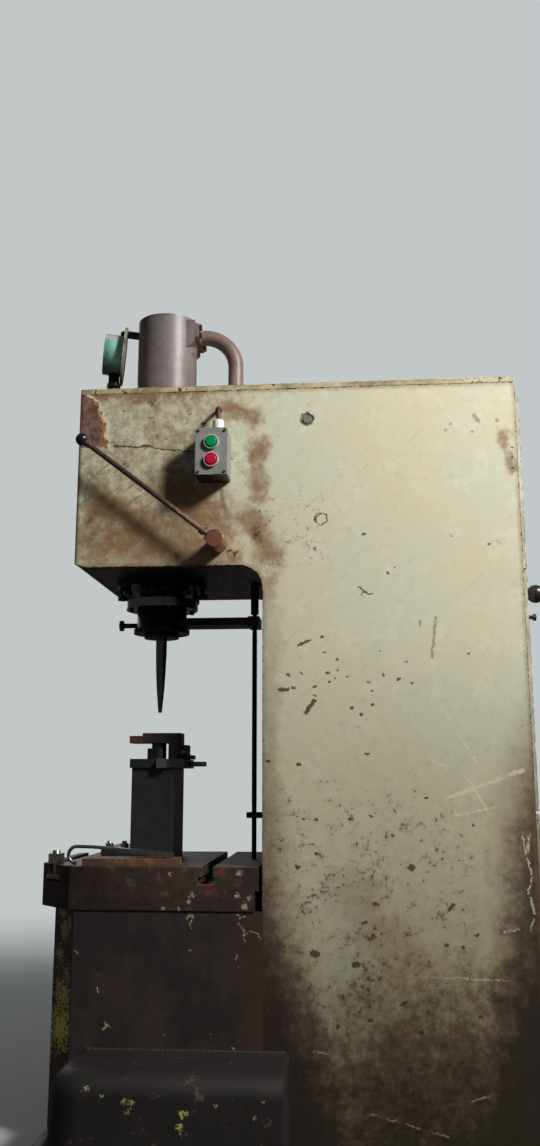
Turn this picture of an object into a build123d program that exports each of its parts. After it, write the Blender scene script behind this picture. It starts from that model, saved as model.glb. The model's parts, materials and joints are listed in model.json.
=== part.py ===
from build123d import *
from math import cos, radians, sin, sqrt, tan
import os

# Single-column hydraulic press, in millimetres. The origin lies on the floor below the ram's axis.
# The front of the press faces -X, the lever and the push buttons are on its -Y side, +Z is up.

# Welded frame
frame_width = 420
side_plate_t = 20
head_front = 149
frame_depth = 928
throat_depth = 248
throat_corner_r = 50
bed_height = 515
daylight = 604
head_height = 396
top_plate_t = 12
front_plate_t = 12
head_bottom_t = 40
head_bottom_rear = 125
throat_plate_t = 12
nose_bevel_run = 27
nose_bevel_rise = 8
plug_d = 18
plug_groove_d = 26
plug_groove = 1.5
plug_x = 343
plug_rise = 314

# Base and feet
base_front = 175
base_corner = 52
base_plate_t = 20
fold_plate_t = 16
web_x = 40
web_t = 16
foot_height = 178
foot_flange_t = 45
foot_front = 128
foot_length = 428
foot_reach = 170
foot_lip = 25
foot_side_lip = 50
foot_corner_r = 70
foot_top_r = 42
foot_root_r = 18
foot_draft = 3
foot_wall = 18
foot_cavities = 3
floor_bolt_d = 20
floor_bolt_inset = 22
floor_bolt_spare = 130

# Bed
bed_proud = 3
bed_overhang = 34
bed_thickness = 83
bed_corner = 75
bed_column_gap = 7
bed_bore_d = 60
bed_relief = 7
bed_relief_h = 38
slot_x = (-180, 140)
slot_neck_w = 22
slot_neck_h = 20
slot_tee_w = 36
slot_tee_h = 13

# Rear of the column
bar_h = 40
bar_t = 20
tank_floor_rise = 85
tank_top_drop = 9
shelf_t = 10
cover_t = 7
cover_side = 5
cover_gap = 6
cover_top_drop = 38
cover_foot_z = 35
screw_d = 8
screw_head_af = 13
screw_head_h = 6
cover_screw_inset = 40
cover_screw_edge = 13
loose_screw_drop = 116
loose_screw_stand = 8
knob_d = 38
knob_neck_d = 18
knob_neck_l = 14
knob_sink = 3
knob_y = -120
knob_drop = 54

# Cylinder and ram
barrel_d = 140
barrel_bore = 110
barrel_rise = 241
barrel_head_t = 20
barrel_hole_gap = 0.5
flange_d = 204
flange_t = 14
flange_boss_d = 110
flange_boss_h = 21
spigot_h = 30
bush_wall = 8
bush_bottom_gap = 6
flange_bolt_pcd = 184
flange_bolts_n = 8
flange_bolt_d = 12
flange_bolt_af = 20
flange_bolt_head = 9
flange_bolt_stand = 12
flange_bolt_grip = 25
ram_d = 80
running_fit = 0.05
piston_h = 45
piston_top_gap = 6
disc_d = 162
disc_t = 20
disc_gap = 5
holder_d = 112
holder_h = 44
holder_lip_d = 126
holder_lip_t = 10
ring_d = 78
ring_t = 10
ring_notches = 6
ring_notch = 6
shank_d = 32
shank_top_gap = 9
punch_d = 25
punch_knee_d = 22.6
punch_waist_d = 17
punch_tip_d = 8.4
punch_knee = 60
punch_waist = 115
punch_length = 166
disc_bolt_pcd = 140
disc_bolts_n = 4
disc_bolt_turn = 22.5
disc_bolt_d = 10
disc_bolt_af = 15
disc_bolt_head = 7
disc_bolt_tail = 6
clamp_screw_d = 11
clamp_head_d = 24
clamp_head_h = 8
clamp_stand = 32
arm_t = 17
arm_w = 66
arm_drop = 22
arm_block_l = 26
arm_block_t = 22
arm_rod_gap = 1

# Feed pipe and its port
port_drop = 35
port_w = 94
port_h = 54
port_back_x = 58
port_nose = 14
port_bore = 18
port_heel = 12
pipe_d = 36
pipe_bore = 26
pipe_x = 165
pipe_bend_r = 78
pipe_flange_t = 10
pipe_flange_h = 38
pipe_screw_inset = 9
pipe_screw_pitch = 20
pipe_root_d = 44
pipe_root_h = 8

# Pressure gauge
gauge_x = -104
gauge_hang = 58
gauge_tilt = 4.8
gauge_turn = 13
gauge_flange_d = 140
gauge_flange_t = 6
gauge_d = 98
gauge_depth = 44
gauge_wall = 3
dial_depth = 33
dial_t = 1.5
glass_depth = 40
glass_t = 2
pointer_l = 38
pointer_tail = 12
pointer_w = 4
pointer_tip_w = 1
pointer_t = 1.2
pointer_hub_d = 8
pointer_turn = 135
pointer_lift = 2
spindle_d = 4
spindle_gap = 0.5
stem_x = -129.5
stem_d = 26
stem_h = 26
stem_nut_af = 30
stem_nut_h = 9
stem_seat = 4
gauge_pipe_d = 14
gauge_pipe_tail = 20
stud_gap = 0.6
stud_tail = 17
gauge_stud_drop = 16
gauge_stud_d = 11
gauge_stud_boss_d = 18
gauge_nut_af = 13
gauge_nut_h = 8

# Push-button box
box_x = 146.7
box_rise = 229
box_w = 68
box_h = 102
box_depth = 50
box_wall = 3
box_corner_r = 4
lid_t = 9
button_pitch = 38.4
button_d = 22
button_hole_gap = 0.5
bezel_d = 31
bezel_t = 6
button_stand = 8
button_stem_d = 14
button_stem_l = 20
button_edge_r = 1.5
lid_screw_d = 6
lid_screw_inset = 6.5
lid_screw_h = 2
gland_shift = 10.3
gland_stand = 30
gland_d = 24
gland_h = 26
gland_neck_d = 16
gland_neck_l = 8
gland_nose = 3
cable_d = 9
cable_hole_shift = 5.3
cable_end_shift = 2.3
cable_hole_rise = 58
cable_hole_gap = 3.5
cable_inside = 14
cable_bend_r = 20

# Hand lever and its linkage
crank_reach = 57
lever_rise = 44
lever_stand = 40
lever_angle = 38
lever_length = 364
lever_rod_d = 11.5
lever_collar_d = 18
lever_collar_r = 30
lever_collar_l = 10
lever_ball_d = 27
ferrule_d = 15
ferrule_l = 9
lever_thread_l = 10
hub_d = 38
hub_stand = 61
hub_boss_d = 26
hub_boss_l = 21
hub_edge_r = 2
shaft_d = 24
lever_bush_wall = 6
lever_bush_proud = 4
crank_w = 30
crank_t = 12
crank_tip = 14
crank_slot_gap = 3
rod_column_gap = 36
rod_d = 10.4
rod_sink = 15
rod_pocket = 31
rod_side_gap = 0.9
rod_collar_d = 24
rod_collar_t = 8
rod_collar_gap = 3.5
rod_sleeve_d = 18
rod_sleeve_drop = 71
rod_sleeve_rise = 13
bracket_rise = 92
bracket_t = 12
bracket_w = 34

# Hydraulics inside the column
valve_shelf_rise = 77
valve_shelf_t = 12
valve_shelf_lead = 22
valve_shelf_tail = 38
valve_lead = 23
valve_tail = 50
valve_half_w = 35
valve_h = 130
spool_d = 16
spool_bottom_gap = 14
spool_l = 94
spool_travel_gap = 13
pressure_pipe_d = 22
pressure_pipe_bore = 15
pressure_port_rise = 62
pressure_bend_r = 60
shaft_rise = 112
motor_d = 190
motor_back_gap = 39
motor_l = 240
motor_wall = 20
motor_foot_inset = 40
motor_foot_t = 22
bell_d = 150
bell_l = 60
bell_wall = 18
pump_d = 110
pump_l = 90
pump_wall = 12
drive_shaft_d = 28
rotor_gap = 1
rotor_inset = 45
pump_rotor_l = 42
coupling_d = 70
coupling_l = 32

# Tooling on the bed
riser_w = 86
riser_depth = 160
riser_wall = 10
riser_h = 192
riser_toe_l = 62
riser_toe_t = 25
die_plate_t = 19
die_plate_left = 47
die_plate_right = 65
die_plate_w = 170
die_d = 32
die_bore = 26
die_h = 35
die_lug_l = 24
die_lug_w = 24
die_lug_h = 24
bar_left = 62
bar_right = 52
bar_w = 50
bar_thick = 22
bar_thin = 16
bar_thin_l = 29
leg_l = 27
heel_l = 14
heel_h = 31
toe_l = 12
toe_h = 9
stud_d = 10
nut_af = 15
nut_h = 10
toe_stud_edge = 14
toe_stud_gap = 16
toe_stud_y = -60
square_head = 20
square_head_h = 10
square_head_x = 22
end_screw_d = 11
end_screw_l = 35
end_screw_y = 40
heel_screw_d = 10
heel_screw_h = 6
slot_bolt_edge = 19
slot_bolt_d = 16
slot_bolt_head = 30
slot_bolt_head_t = 9
slot_nut = 26
slot_nut_h = 20
slot_bolt_tail = 6
packing_l = 191
packing_w = 60
packing_t = 14
packing_x = -112
packing_edge = 9
hook_d = 7
hook_inset = 26
hook_loop_r = 16
hook_loop_x = -130.5
handle_l = 113
handle_w = 18
handle_t0 = 7
handle_t1 = 10
handle_x = -47
handle_rise = 13

# Places that follow from the sizes above
half_width = frame_width / 2
inner_half = half_width - side_plate_t
front_x = -head_front
back_x = frame_depth - head_front
underside_z = bed_height + daylight
frame_top_z = underside_z + head_height
plug_z = underside_z + plug_rise
plate_top_z = frame_top_z - top_plate_t
bed_bottom_z = bed_height - bed_thickness
bed_width = frame_width + 2 * bed_proud
bed_front = base_front + bed_overhang
base_side_x = base_corner - base_front
column_inner_x = throat_depth + throat_plate_t
bed_rear = throat_depth - bed_column_gap
tank_floor_z = bed_height + tank_floor_rise
tank_top_z = underside_z - tank_top_drop
cover_width = frame_width - 2 * cover_side
cover_screw_y = cover_width / 2 - cover_screw_inset
loose_screw_z = underside_z - loose_screw_drop
knob_z = underside_z - knob_drop
flange_bottom_z = underside_z - flange_t
boss_bottom_z = flange_bottom_z - flange_boss_h
disc_top_z = boss_bottom_z - disc_gap
disc_bottom_z = disc_top_z - disc_t
holder_bottom_z = disc_bottom_z - holder_h - holder_lip_t
ring_bottom_z = holder_bottom_z - ring_t
arm_top_z = disc_bottom_z - arm_drop
arm_bottom_z = arm_top_z - arm_t
barrel_top_z = frame_top_z + barrel_rise
barrel_ceiling_z = barrel_top_z - barrel_head_t
port_z = barrel_top_z - port_drop
gauge_stud_z = barrel_top_z - gauge_stud_drop
gauge_z = gauge_stud_z - gauge_hang
box_z = underside_z + box_rise
gland_x = box_x + gland_shift
gland_y = -half_width - gland_stand
cable_hole_x = box_x + cable_hole_shift
cable_hole_z = box_z + box_h / 2 + cable_hole_rise
rod_x = throat_depth - rod_column_gap
rod_bottom_z = bed_height - rod_sink
rod_pocket_z = bed_height - rod_pocket
rod_sleeve_bottom_z = underside_z - rod_sleeve_drop
rod_sleeve_top_z = underside_z + rod_sleeve_rise
bracket_z = bed_height + bracket_rise
lever_x = rod_x - crank_reach
lever_y = -half_width - lever_stand
lever_z = underside_z + lever_rise
hub_end_y = -half_width - hub_stand
bush_d = ram_d + 2 * bush_wall
die_plate_z = bed_height + riser_h
die_z = die_plate_z + die_plate_t
bar_z = die_z + die_h
valve_shelf_z = underside_z + valve_shelf_rise
valve_z = valve_shelf_z + valve_shelf_t
valve_front = pipe_x - valve_lead
valve_rear = rod_x + valve_tail
valve_shelf_front = valve_front - valve_shelf_lead
valve_shelf_rear = valve_rear + valve_shelf_tail
valve_top_z = valve_z + valve_h
shaft_z = base_plate_t + shaft_rise
motor_rear = back_x - motor_back_gap
motor_front = motor_rear - motor_l
motor_foot_front = motor_front + motor_foot_inset
bell_front = motor_front - bell_l
pump_front = bell_front - pump_l
pressure_pipe_x = (pump_front + bell_front) / 2
pressure_pipe_z = valve_z + pressure_port_rise
slot_bolt_reach = bed_width / 2 - bed_corner + bed_front + slot_x[0]
slot_bolt_y = slot_bolt_edge - slot_bolt_reach
packing_y = packing_edge - bed_width / 2
hook_y = packing_y + hook_inset
side_face = Plane.XZ.offset(half_width)
motor_plane = Plane((0, 0, shaft_z), x_dir=(0, 1, 0), z_dir=(1, 0, 0))
gauge_back = Vector(cos(radians(gauge_turn)), sin(radians(gauge_turn)), 0)
gauge_right = Vector(sin(radians(gauge_turn)), -cos(radians(gauge_turn)), 0)
gauge_origin = Vector(stem_x, 0, gauge_z) + gauge_back * (gauge_x - stem_x)
gauge_normal = gauge_back * -cos(radians(gauge_tilt)) + Vector(0, 0, sin(radians(gauge_tilt)))
gauge_plane = Plane(gauge_origin, x_dir=gauge_right, z_dir=gauge_normal)
lever_dir = (-cos(radians(lever_angle)), 0, sin(radians(lever_angle)))
lever_axis_plane = Plane((lever_x, lever_y, lever_z), x_dir=(0, 1, 0), z_dir=lever_dir)

os.makedirs("parts", exist_ok=True)


def save(builder, name):
    """Label a finished piece and write it under its own name."""
    builder.part.label = name
    export_step(builder.part, f"parts/{name}.step")


def side_outline():
    """The C-shaped outline that both side plates are cut to."""
    with BuildSketch() as outline:
        with BuildLine():
            Polyline(
                (front_x + nose_bevel_run, underside_z),
                (front_x, underside_z + nose_bevel_rise),
                (front_x, plate_top_z),
                (back_x, plate_top_z),
                (back_x, 0),
                (base_side_x, 0),
                (base_side_x, bed_bottom_z),
                (throat_depth, bed_bottom_z),
                (throat_depth, underside_z),
                close=True,
            )
        make_face()
        throat_corner = outline.vertices().sort_by_distance((throat_depth, underside_z))[0]
        fillet(throat_corner, throat_corner_r)
    return outline.sketch


# Side plates of the frame
with BuildPart() as near_side_plate:
    with BuildSketch(Plane.XZ.offset(inner_half)):
        add(side_outline())
        with Locations((lever_x, lever_z)):
            Circle(shaft_d / 2 + lever_bush_wall, mode=Mode.SUBTRACT)
        with Locations((cable_hole_x, cable_hole_z)):
            Circle(cable_d / 2 + cable_hole_gap, mode=Mode.SUBTRACT)
    extrude(amount=side_plate_t)
    with BuildSketch(side_face):
        with Locations((plug_x, plug_z)):
            Circle(plug_groove_d / 2)
            Circle(plug_d / 2, mode=Mode.SUBTRACT)
    extrude(amount=-plug_groove, mode=Mode.SUBTRACT)
save(near_side_plate, "near_side_plate")

with BuildPart() as far_side_plate:
    with BuildSketch(Plane.XZ.offset(-half_width)):
        add(side_outline())
    extrude(amount=side_plate_t)
save(far_side_plate, "far_side_plate")

# Top plate, laid over the side plates
with BuildPart() as top_plate:
    with BuildSketch(Plane.XY.offset(plate_top_z)):
        with Locations((front_x, 0)):
            Rectangle(frame_depth, frame_width, align=(Align.MIN, Align.CENTER))
        Circle(barrel_d / 2 + barrel_hole_gap, mode=Mode.SUBTRACT)
        with Locations((pipe_x, 0)):
            Circle(pipe_d / 2 + barrel_hole_gap, mode=Mode.SUBTRACT)
        with Locations((stem_x, 0)):
            Circle(gauge_pipe_d / 2 + barrel_hole_gap, mode=Mode.SUBTRACT)
    extrude(amount=top_plate_t)
save(top_plate, "top_plate")

with BuildPart() as head_front_plate:
    with BuildSketch(Plane.XY.offset(underside_z + nose_bevel_rise)):
        with Locations((front_x, 0)):
            Rectangle(front_plate_t, 2 * inner_half, align=(Align.MIN, Align.CENTER))
    extrude(amount=plate_top_z - underside_z - nose_bevel_rise)
save(head_front_plate, "head_front_plate")

# Thick plate that carries the cylinder
with BuildPart() as head_bottom_plate:
    with BuildSketch(Plane.XY.offset(underside_z)):
        with Locations((front_x + front_plate_t, 0)):
            plate_l = head_bottom_rear - front_x - front_plate_t
            Rectangle(plate_l, 2 * inner_half, align=(Align.MIN, Align.CENTER))
        Circle(barrel_d / 2, mode=Mode.SUBTRACT)
    extrude(amount=head_bottom_t)
    with BuildSketch(Plane.XY.offset(underside_z)):
        with PolarLocations(flange_bolt_pcd / 2, flange_bolts_n):
            Circle(flange_bolt_d / 2)
    extrude(amount=flange_bolt_grip - flange_t, mode=Mode.SUBTRACT)
save(head_bottom_plate, "head_bottom_plate")

# Bent plate that lines the throat, from under the head down the front of the column
bend_x = throat_depth - throat_corner_r
bend_z = underside_z - throat_corner_r
bend_outer_r = throat_corner_r + throat_plate_t
with BuildPart() as throat_plate:
    with BuildSketch(Plane.XZ.offset(-inner_half)):
        with BuildLine():
            inner_arc = CenterArc((bend_x, bend_z), throat_corner_r, 0, 90)
            outer_arc = CenterArc((bend_x, bend_z), bend_outer_r, 0, 90)
            Polyline(
                inner_arc @ 1,
                (head_bottom_rear, underside_z),
                (head_bottom_rear, underside_z + throat_plate_t),
                outer_arc @ 1,
            )
            Polyline(
                inner_arc @ 0,
                (throat_depth, bed_bottom_z),
                (column_inner_x, bed_bottom_z),
                outer_arc @ 0,
            )
        make_face()
    extrude(amount=2 * inner_half)
    with BuildSketch(Plane.XY.offset(underside_z)):
        with Locations((rod_x, 0)):
            Circle(rod_sleeve_d / 2)
    extrude(amount=throat_plate_t, both=True, mode=Mode.SUBTRACT)
save(throat_plate, "throat_plate")

# Front of the base, one plate folded at 45 degrees on both corners
fold_slant = fold_plate_t * sqrt(2)
fold_turn = fold_plate_t * tan(radians(22.5))
with BuildPart() as base_front_plate:
    with BuildSketch():
        with BuildLine():
            Polyline(
                (base_side_x, half_width),
                (-base_front, half_width - base_corner),
                (-base_front, base_corner - half_width),
                (base_side_x, -half_width),
                (base_side_x, fold_slant - half_width),
                (fold_plate_t - base_front, base_corner - half_width + fold_turn),
                (fold_plate_t - base_front, half_width - base_corner - fold_turn),
                (base_side_x, half_width - fold_slant),
                close=True,
            )
        make_face()
    extrude(amount=bed_bottom_z)
save(base_front_plate, "base_front_plate")

# Bottom plate between the side plates, with the web that carries the bed
with BuildPart() as base_plate:
    with BuildSketch():
        with Locations((base_side_x, 0)):
            base_l = back_x - base_side_x
            Rectangle(base_l, 2 * inner_half, align=(Align.MIN, Align.CENTER))
    extrude(amount=base_plate_t)
    with BuildSketch(Plane.XY.offset(base_plate_t)):
        with Locations((web_x, 0)):
            Rectangle(web_t, 2 * inner_half)
    extrude(amount=bed_bottom_z - base_plate_t)
save(base_plate, "base_plate")

# Feet, one hollow casting on each side, welded to the side plates and bolted to the floor
foot_mid_x = foot_length / 2 - foot_front
foot_overlap = 3 * foot_root_r
foot_cavity_w = foot_reach - foot_wall - foot_top_r / 2
foot_cavity_l = (foot_length - foot_corner_r / 2 - (foot_cavities + 1) * foot_wall) / foot_cavities
with BuildPart() as feet:
    with BuildSketch():
        with Locations((-foot_front - foot_lip, -half_width - foot_reach - foot_side_lip)):
            flange_w = foot_side_lip + foot_reach + 2 * foot_overlap
            Rectangle(2 * foot_length, flange_w, align=(Align.MIN, Align.MIN))
    extrude(amount=foot_flange_t)
    flange_corners = feet.edges().filter_by(Axis.Z).group_by(Axis.Y)[0].sort_by(Axis.X)
    fillet(flange_corners[0], foot_corner_r + foot_lip)
    with BuildSketch(Plane.XY.offset(foot_flange_t)) as foot_section:
        with Locations((-foot_front, -half_width - foot_reach)):
            body_w = foot_reach + foot_overlap
            Rectangle(foot_length + foot_overlap, body_w, align=(Align.MIN, Align.MIN))
        outer_corners = foot_section.vertices().group_by(Axis.Y)[0].sort_by(Axis.X)
        fillet(outer_corners[0], foot_corner_r)
    extrude(amount=foot_height - foot_flange_t, taper=foot_draft)
    fillet(feet.faces().sort_by(Axis.Z)[-1].edges(), foot_top_r)
    flange_face = feet.faces().filter_by(Axis.Z).filter_by_position(Axis.Z, foot_flange_t, foot_flange_t)[0]
    fillet(flange_face.inner_wires()[0].edges(), foot_root_r)
    with BuildSketch():
        with Locations((foot_mid_x, -half_width)):
            Rectangle(2 * foot_length, frame_width, align=(Align.CENTER, Align.MIN))
        with Locations((foot_length - foot_front, 0)):
            Rectangle(2 * foot_length, 2 * (frame_width + foot_reach), align=(Align.MIN, Align.CENTER))
    extrude(amount=foot_height, mode=Mode.SUBTRACT)
    with BuildSketch():
        with Locations((foot_mid_x + foot_corner_r / 4, -half_width - foot_cavity_w / 2)):
            with GridLocations(foot_cavity_l + foot_wall, 0, foot_cavities, 1):
                Rectangle(foot_cavity_l, foot_cavity_w)
    extrude(amount=foot_height - foot_top_r, mode=Mode.SUBTRACT)
    with BuildSketch():
        with Locations((foot_mid_x, floor_bolt_inset - half_width - foot_reach - foot_side_lip)):
            with GridLocations(foot_length - floor_bolt_spare, 0, 2, 1):
                Circle(floor_bolt_d / 2)
    extrude(amount=foot_flange_t, mode=Mode.SUBTRACT)
    mirror(about=Plane.XZ)
save(feet, "feet")

# Bed plate with its T-slots
with BuildPart() as bed_plate:
    with BuildSketch(Plane.XY.offset(bed_bottom_z)):
        with BuildLine():
            Polyline(
                (bed_rear, bed_width / 2),
                (bed_corner - bed_front, bed_width / 2),
                (-bed_front, bed_width / 2 - bed_corner),
                (-bed_front, bed_corner - bed_width / 2),
                (bed_corner - bed_front, -bed_width / 2),
                (bed_rear, -bed_width / 2),
                close=True,
            )
        make_face()
        Circle(bed_bore_d / 2, mode=Mode.SUBTRACT)
    extrude(amount=bed_thickness)
    with BuildSketch(Plane.XZ.offset(-bed_width / 2)):
        for x in slot_x:
            with Locations((x, bed_height)):
                Rectangle(slot_neck_w, slot_neck_h, align=(Align.CENTER, Align.MAX))
            with Locations((x, bed_height - slot_neck_h)):
                Rectangle(slot_tee_w, slot_tee_h, align=(Align.CENTER, Align.MAX))
    extrude(amount=bed_width, mode=Mode.SUBTRACT)
    with BuildSketch(Plane.XY.offset(rod_pocket_z)):
        with Locations((rod_x, 0)):
            Circle(rod_d / 2 + rod_side_gap)
    extrude(amount=rod_pocket, mode=Mode.SUBTRACT)
    with BuildSketch(Plane.XZ.offset(-bed_width / 2)):
        with Locations((bed_rear, bed_bottom_z)):
            Rectangle(bed_relief, bed_relief_h, align=(Align.MAX, Align.MIN))
    extrude(amount=bed_width, mode=Mode.SUBTRACT)
save(bed_plate, "bed_plate")

# Cross bars of the column's open back
bar_levels = (base_plate_t, tank_floor_z, tank_top_z + shelf_t - bar_h, plate_top_z - bar_h)
with BuildPart() as rear_bars:
    for bar_z0 in bar_levels:
        with BuildSketch(Plane.XY.offset(bar_z0)):
            with Locations((back_x, 0)):
                Rectangle(bar_t, 2 * inner_half, align=(Align.MAX, Align.CENTER))
        extrude(amount=bar_h)
save(rear_bars, "rear_bars")

# Floor and ceiling of the oil tank, and the shelf that carries the valve
with BuildPart() as inner_shelves:
    for level in (tank_floor_z, tank_top_z):
        with BuildSketch(Plane.XY.offset(level)):
            with Locations((column_inner_x, 0)):
                shelf_l = back_x - bar_t - column_inner_x
                Rectangle(shelf_l, 2 * inner_half, align=(Align.MIN, Align.CENTER))
            with Locations((pressure_pipe_x, 0)):
                Circle(pressure_pipe_d / 2, mode=Mode.SUBTRACT)
        extrude(amount=shelf_t)
    with BuildSketch(Plane.XY.offset(valve_shelf_z)):
        with Locations((valve_shelf_front, 0)):
            shelf_l = valve_shelf_rear - valve_shelf_front
            Rectangle(shelf_l, 2 * inner_half, align=(Align.MIN, Align.CENTER))
        with Locations((rod_x, 0)):
            Circle(spool_d / 2, mode=Mode.SUBTRACT)
    extrude(amount=valve_shelf_t)
save(inner_shelves, "inner_shelves")

# Screwed covers on the back
tank_cover_z = tank_floor_z + bar_h / 2 + cover_gap / 2
upper_cover_z = tank_top_z + shelf_t - bar_h / 2 + cover_gap / 2
lower_cover_h = tank_cover_z - cover_gap - cover_foot_z
tank_cover_h = upper_cover_z - cover_gap - tank_cover_z
upper_cover_h = frame_top_z - cover_top_drop - upper_cover_z
rear_face = Plane.YZ.offset(back_x)
with BuildPart() as rear_covers:
    with BuildSketch(rear_face):
        with Locations((0, cover_foot_z)):
            Rectangle(cover_width, lower_cover_h, align=(Align.CENTER, Align.MIN))
        with Locations((0, upper_cover_z)):
            Rectangle(cover_width, upper_cover_h, align=(Align.CENTER, Align.MIN))
    extrude(amount=cover_t)
save(rear_covers, "rear_covers")

with BuildPart() as tank_cover:
    with BuildSketch(rear_face):
        with Locations((0, tank_cover_z)):
            Rectangle(cover_width, tank_cover_h, align=(Align.CENTER, Align.MIN))
    extrude(amount=cover_t)
save(tank_cover, "tank_cover")

with BuildPart() as cover_knob:
    with BuildSketch(rear_face.offset(cover_t)):
        with Locations((knob_y, knob_z)):
            Circle(knob_neck_d / 2)
    extrude(amount=knob_neck_l)
    with Locations((back_x + cover_t + knob_neck_l + knob_d / 2 - knob_sink, knob_y, knob_z)):
        Sphere(knob_d / 2)
save(cover_knob, "cover_knob")

# Screws of the covers, of the button box's lid and of the pipe flange
screw_levels = (
    cover_foot_z + cover_screw_edge,
    cover_foot_z + lower_cover_h - cover_screw_edge,
    tank_cover_z + cover_screw_edge,
    tank_cover_z + tank_cover_h - cover_screw_edge,
    upper_cover_z + cover_screw_edge,
    upper_cover_z + upper_cover_h - cover_screw_edge,
)
lid_face_y = half_width + box_depth + lid_t
port_face_x = port_back_x + port_nose
with BuildPart() as cover_screws:
    with BuildSketch(rear_face.offset(cover_t)):
        for level in screw_levels:
            with Locations((-cover_screw_y, level), (cover_screw_y, level)):
                RegularPolygon(screw_head_af / 2, 6, major_radius=False)
    extrude(amount=screw_head_h)
    with BuildSketch(rear_face.offset(cover_t)):
        with Locations((-(inner_half + half_width) / 2, loose_screw_z)):
            Circle(screw_d / 2)
    extrude(amount=loose_screw_stand)
    with BuildSketch(rear_face.offset(cover_t + loose_screw_stand)):
        with Locations((-(inner_half + half_width) / 2, loose_screw_z)):
            RegularPolygon(screw_head_af / 2, 6, major_radius=False)
    extrude(amount=screw_head_h)
    with BuildSketch(Plane.XZ.offset(lid_face_y)):
        with Locations((box_x, box_z)):
            with GridLocations(box_w - 2 * lid_screw_inset, box_h - 2 * lid_screw_inset, 2, 2):
                Circle(lid_screw_d / 2)
    extrude(amount=lid_screw_h)
    with BuildSketch(Plane.YZ.offset(port_face_x + pipe_flange_t)):
        with Locations((0, port_z)):
            with GridLocations(port_w - 2 * pipe_screw_inset, pipe_screw_pitch, 2, 2):
                RegularPolygon(screw_head_af / 2, 6, major_radius=False)
    extrude(amount=screw_head_h)
save(cover_screws, "cover_screws")

# Cylinder, open at the bottom, welded shut at the top
with BuildPart() as cylinder_barrel:
    with BuildSketch(Plane.XY.offset(underside_z)):
        Circle(barrel_d / 2)
    extrude(amount=barrel_top_z - underside_z)
    with BuildSketch(Plane.XY.offset(underside_z)):
        Circle(barrel_bore / 2)
    extrude(amount=barrel_ceiling_z - underside_z, mode=Mode.SUBTRACT)
    with BuildSketch(Plane.YZ):
        with Locations((0, port_z)):
            Circle(port_bore / 2)
    extrude(amount=barrel_d, mode=Mode.SUBTRACT)
save(cylinder_barrel, "cylinder_barrel")

with BuildPart() as cylinder_flange:
    with BuildSketch(Plane.XY.offset(flange_bottom_z)):
        Circle(flange_d / 2)
        with PolarLocations(flange_bolt_pcd / 2, flange_bolts_n):
            Circle(flange_bolt_d / 2, mode=Mode.SUBTRACT)
    extrude(amount=flange_t)
    with BuildSketch(Plane.XY.offset(boss_bottom_z)):
        Circle(flange_boss_d / 2)
    extrude(amount=flange_boss_h)
    with BuildSketch(Plane.XY.offset(underside_z)):
        Circle(barrel_bore / 2)
    extrude(amount=spigot_h)
    with BuildSketch(Plane.XY.offset(boss_bottom_z)):
        Circle(bush_d / 2)
    extrude(amount=flange_boss_h + flange_t + spigot_h, mode=Mode.SUBTRACT)
save(cylinder_flange, "cylinder_flange")

with BuildPart() as flange_bolts:
    with BuildSketch(Plane.XY.offset(flange_bottom_z - flange_bolt_stand)):
        with PolarLocations(flange_bolt_pcd / 2, flange_bolts_n):
            Circle(flange_bolt_d / 2)
    extrude(amount=flange_bolt_stand + flange_bolt_grip)
    with BuildSketch(Plane.XY.offset(flange_bottom_z - flange_bolt_stand)):
        with PolarLocations(flange_bolt_pcd / 2, flange_bolts_n):
            RegularPolygon(flange_bolt_af / 2, 6, major_radius=False)
    extrude(amount=-flange_bolt_head)
save(flange_bolts, "flange_bolts")

# Bronze bush that guides the ram
with BuildPart() as guide_bush:
    with BuildSketch(Plane.XY.offset(boss_bottom_z + bush_bottom_gap)):
        Circle(bush_d / 2)
        Circle(ram_d / 2 + running_fit, mode=Mode.SUBTRACT)
    extrude(amount=underside_z + spigot_h - boss_bottom_z - bush_bottom_gap)
save(guide_bush, "guide_bush")

# Ram, turned in one piece with its piston and its disc
piston_top_z = barrel_ceiling_z - piston_top_gap
with BuildPart() as ram:
    with BuildSketch(Plane.XY.offset(disc_bottom_z)):
        Circle(disc_d / 2)
        with PolarLocations(disc_bolt_pcd / 2, disc_bolts_n, disc_bolt_turn):
            Circle(disc_bolt_d / 2, mode=Mode.SUBTRACT)
    extrude(amount=disc_t)
    with BuildSketch(Plane.XY.offset(disc_top_z)):
        Circle(ram_d / 2)
    extrude(amount=piston_top_z - disc_top_z)
    with BuildSketch(Plane.XY.offset(piston_top_z)):
        Circle(barrel_bore / 2 - running_fit)
    extrude(amount=-piston_h)
save(ram, "ram")

# Screws of the tool holder: bolts through the ram's disc and the clamp screw of the punch
clamp_z = arm_bottom_z + clamp_screw_d / 2
with BuildPart() as holder_screws:
    with BuildSketch(Plane.XY.offset(disc_bottom_z - disc_bolt_tail)):
        with PolarLocations(disc_bolt_pcd / 2, disc_bolts_n, disc_bolt_turn):
            Circle(disc_bolt_d / 2)
    extrude(amount=disc_bolt_tail + disc_t)
    with BuildSketch(Plane.XY.offset(disc_top_z)):
        with PolarLocations(disc_bolt_pcd / 2, disc_bolts_n, disc_bolt_turn):
            RegularPolygon(disc_bolt_af / 2, 6, major_radius=False)
    extrude(amount=disc_bolt_head)
    with BuildSketch(Plane.YZ.offset(-shank_d / 2)):
        with Locations((0, clamp_z)):
            Circle(clamp_screw_d / 2)
    extrude(amount=-(holder_d / 2 + clamp_stand - shank_d / 2))
    with BuildSketch(Plane.YZ.offset(-holder_d / 2 - clamp_stand)):
        with Locations((0, clamp_z)):
            Circle(clamp_head_d / 2)
    extrude(amount=-clamp_head_h)
save(holder_screws, "holder_screws")

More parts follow.
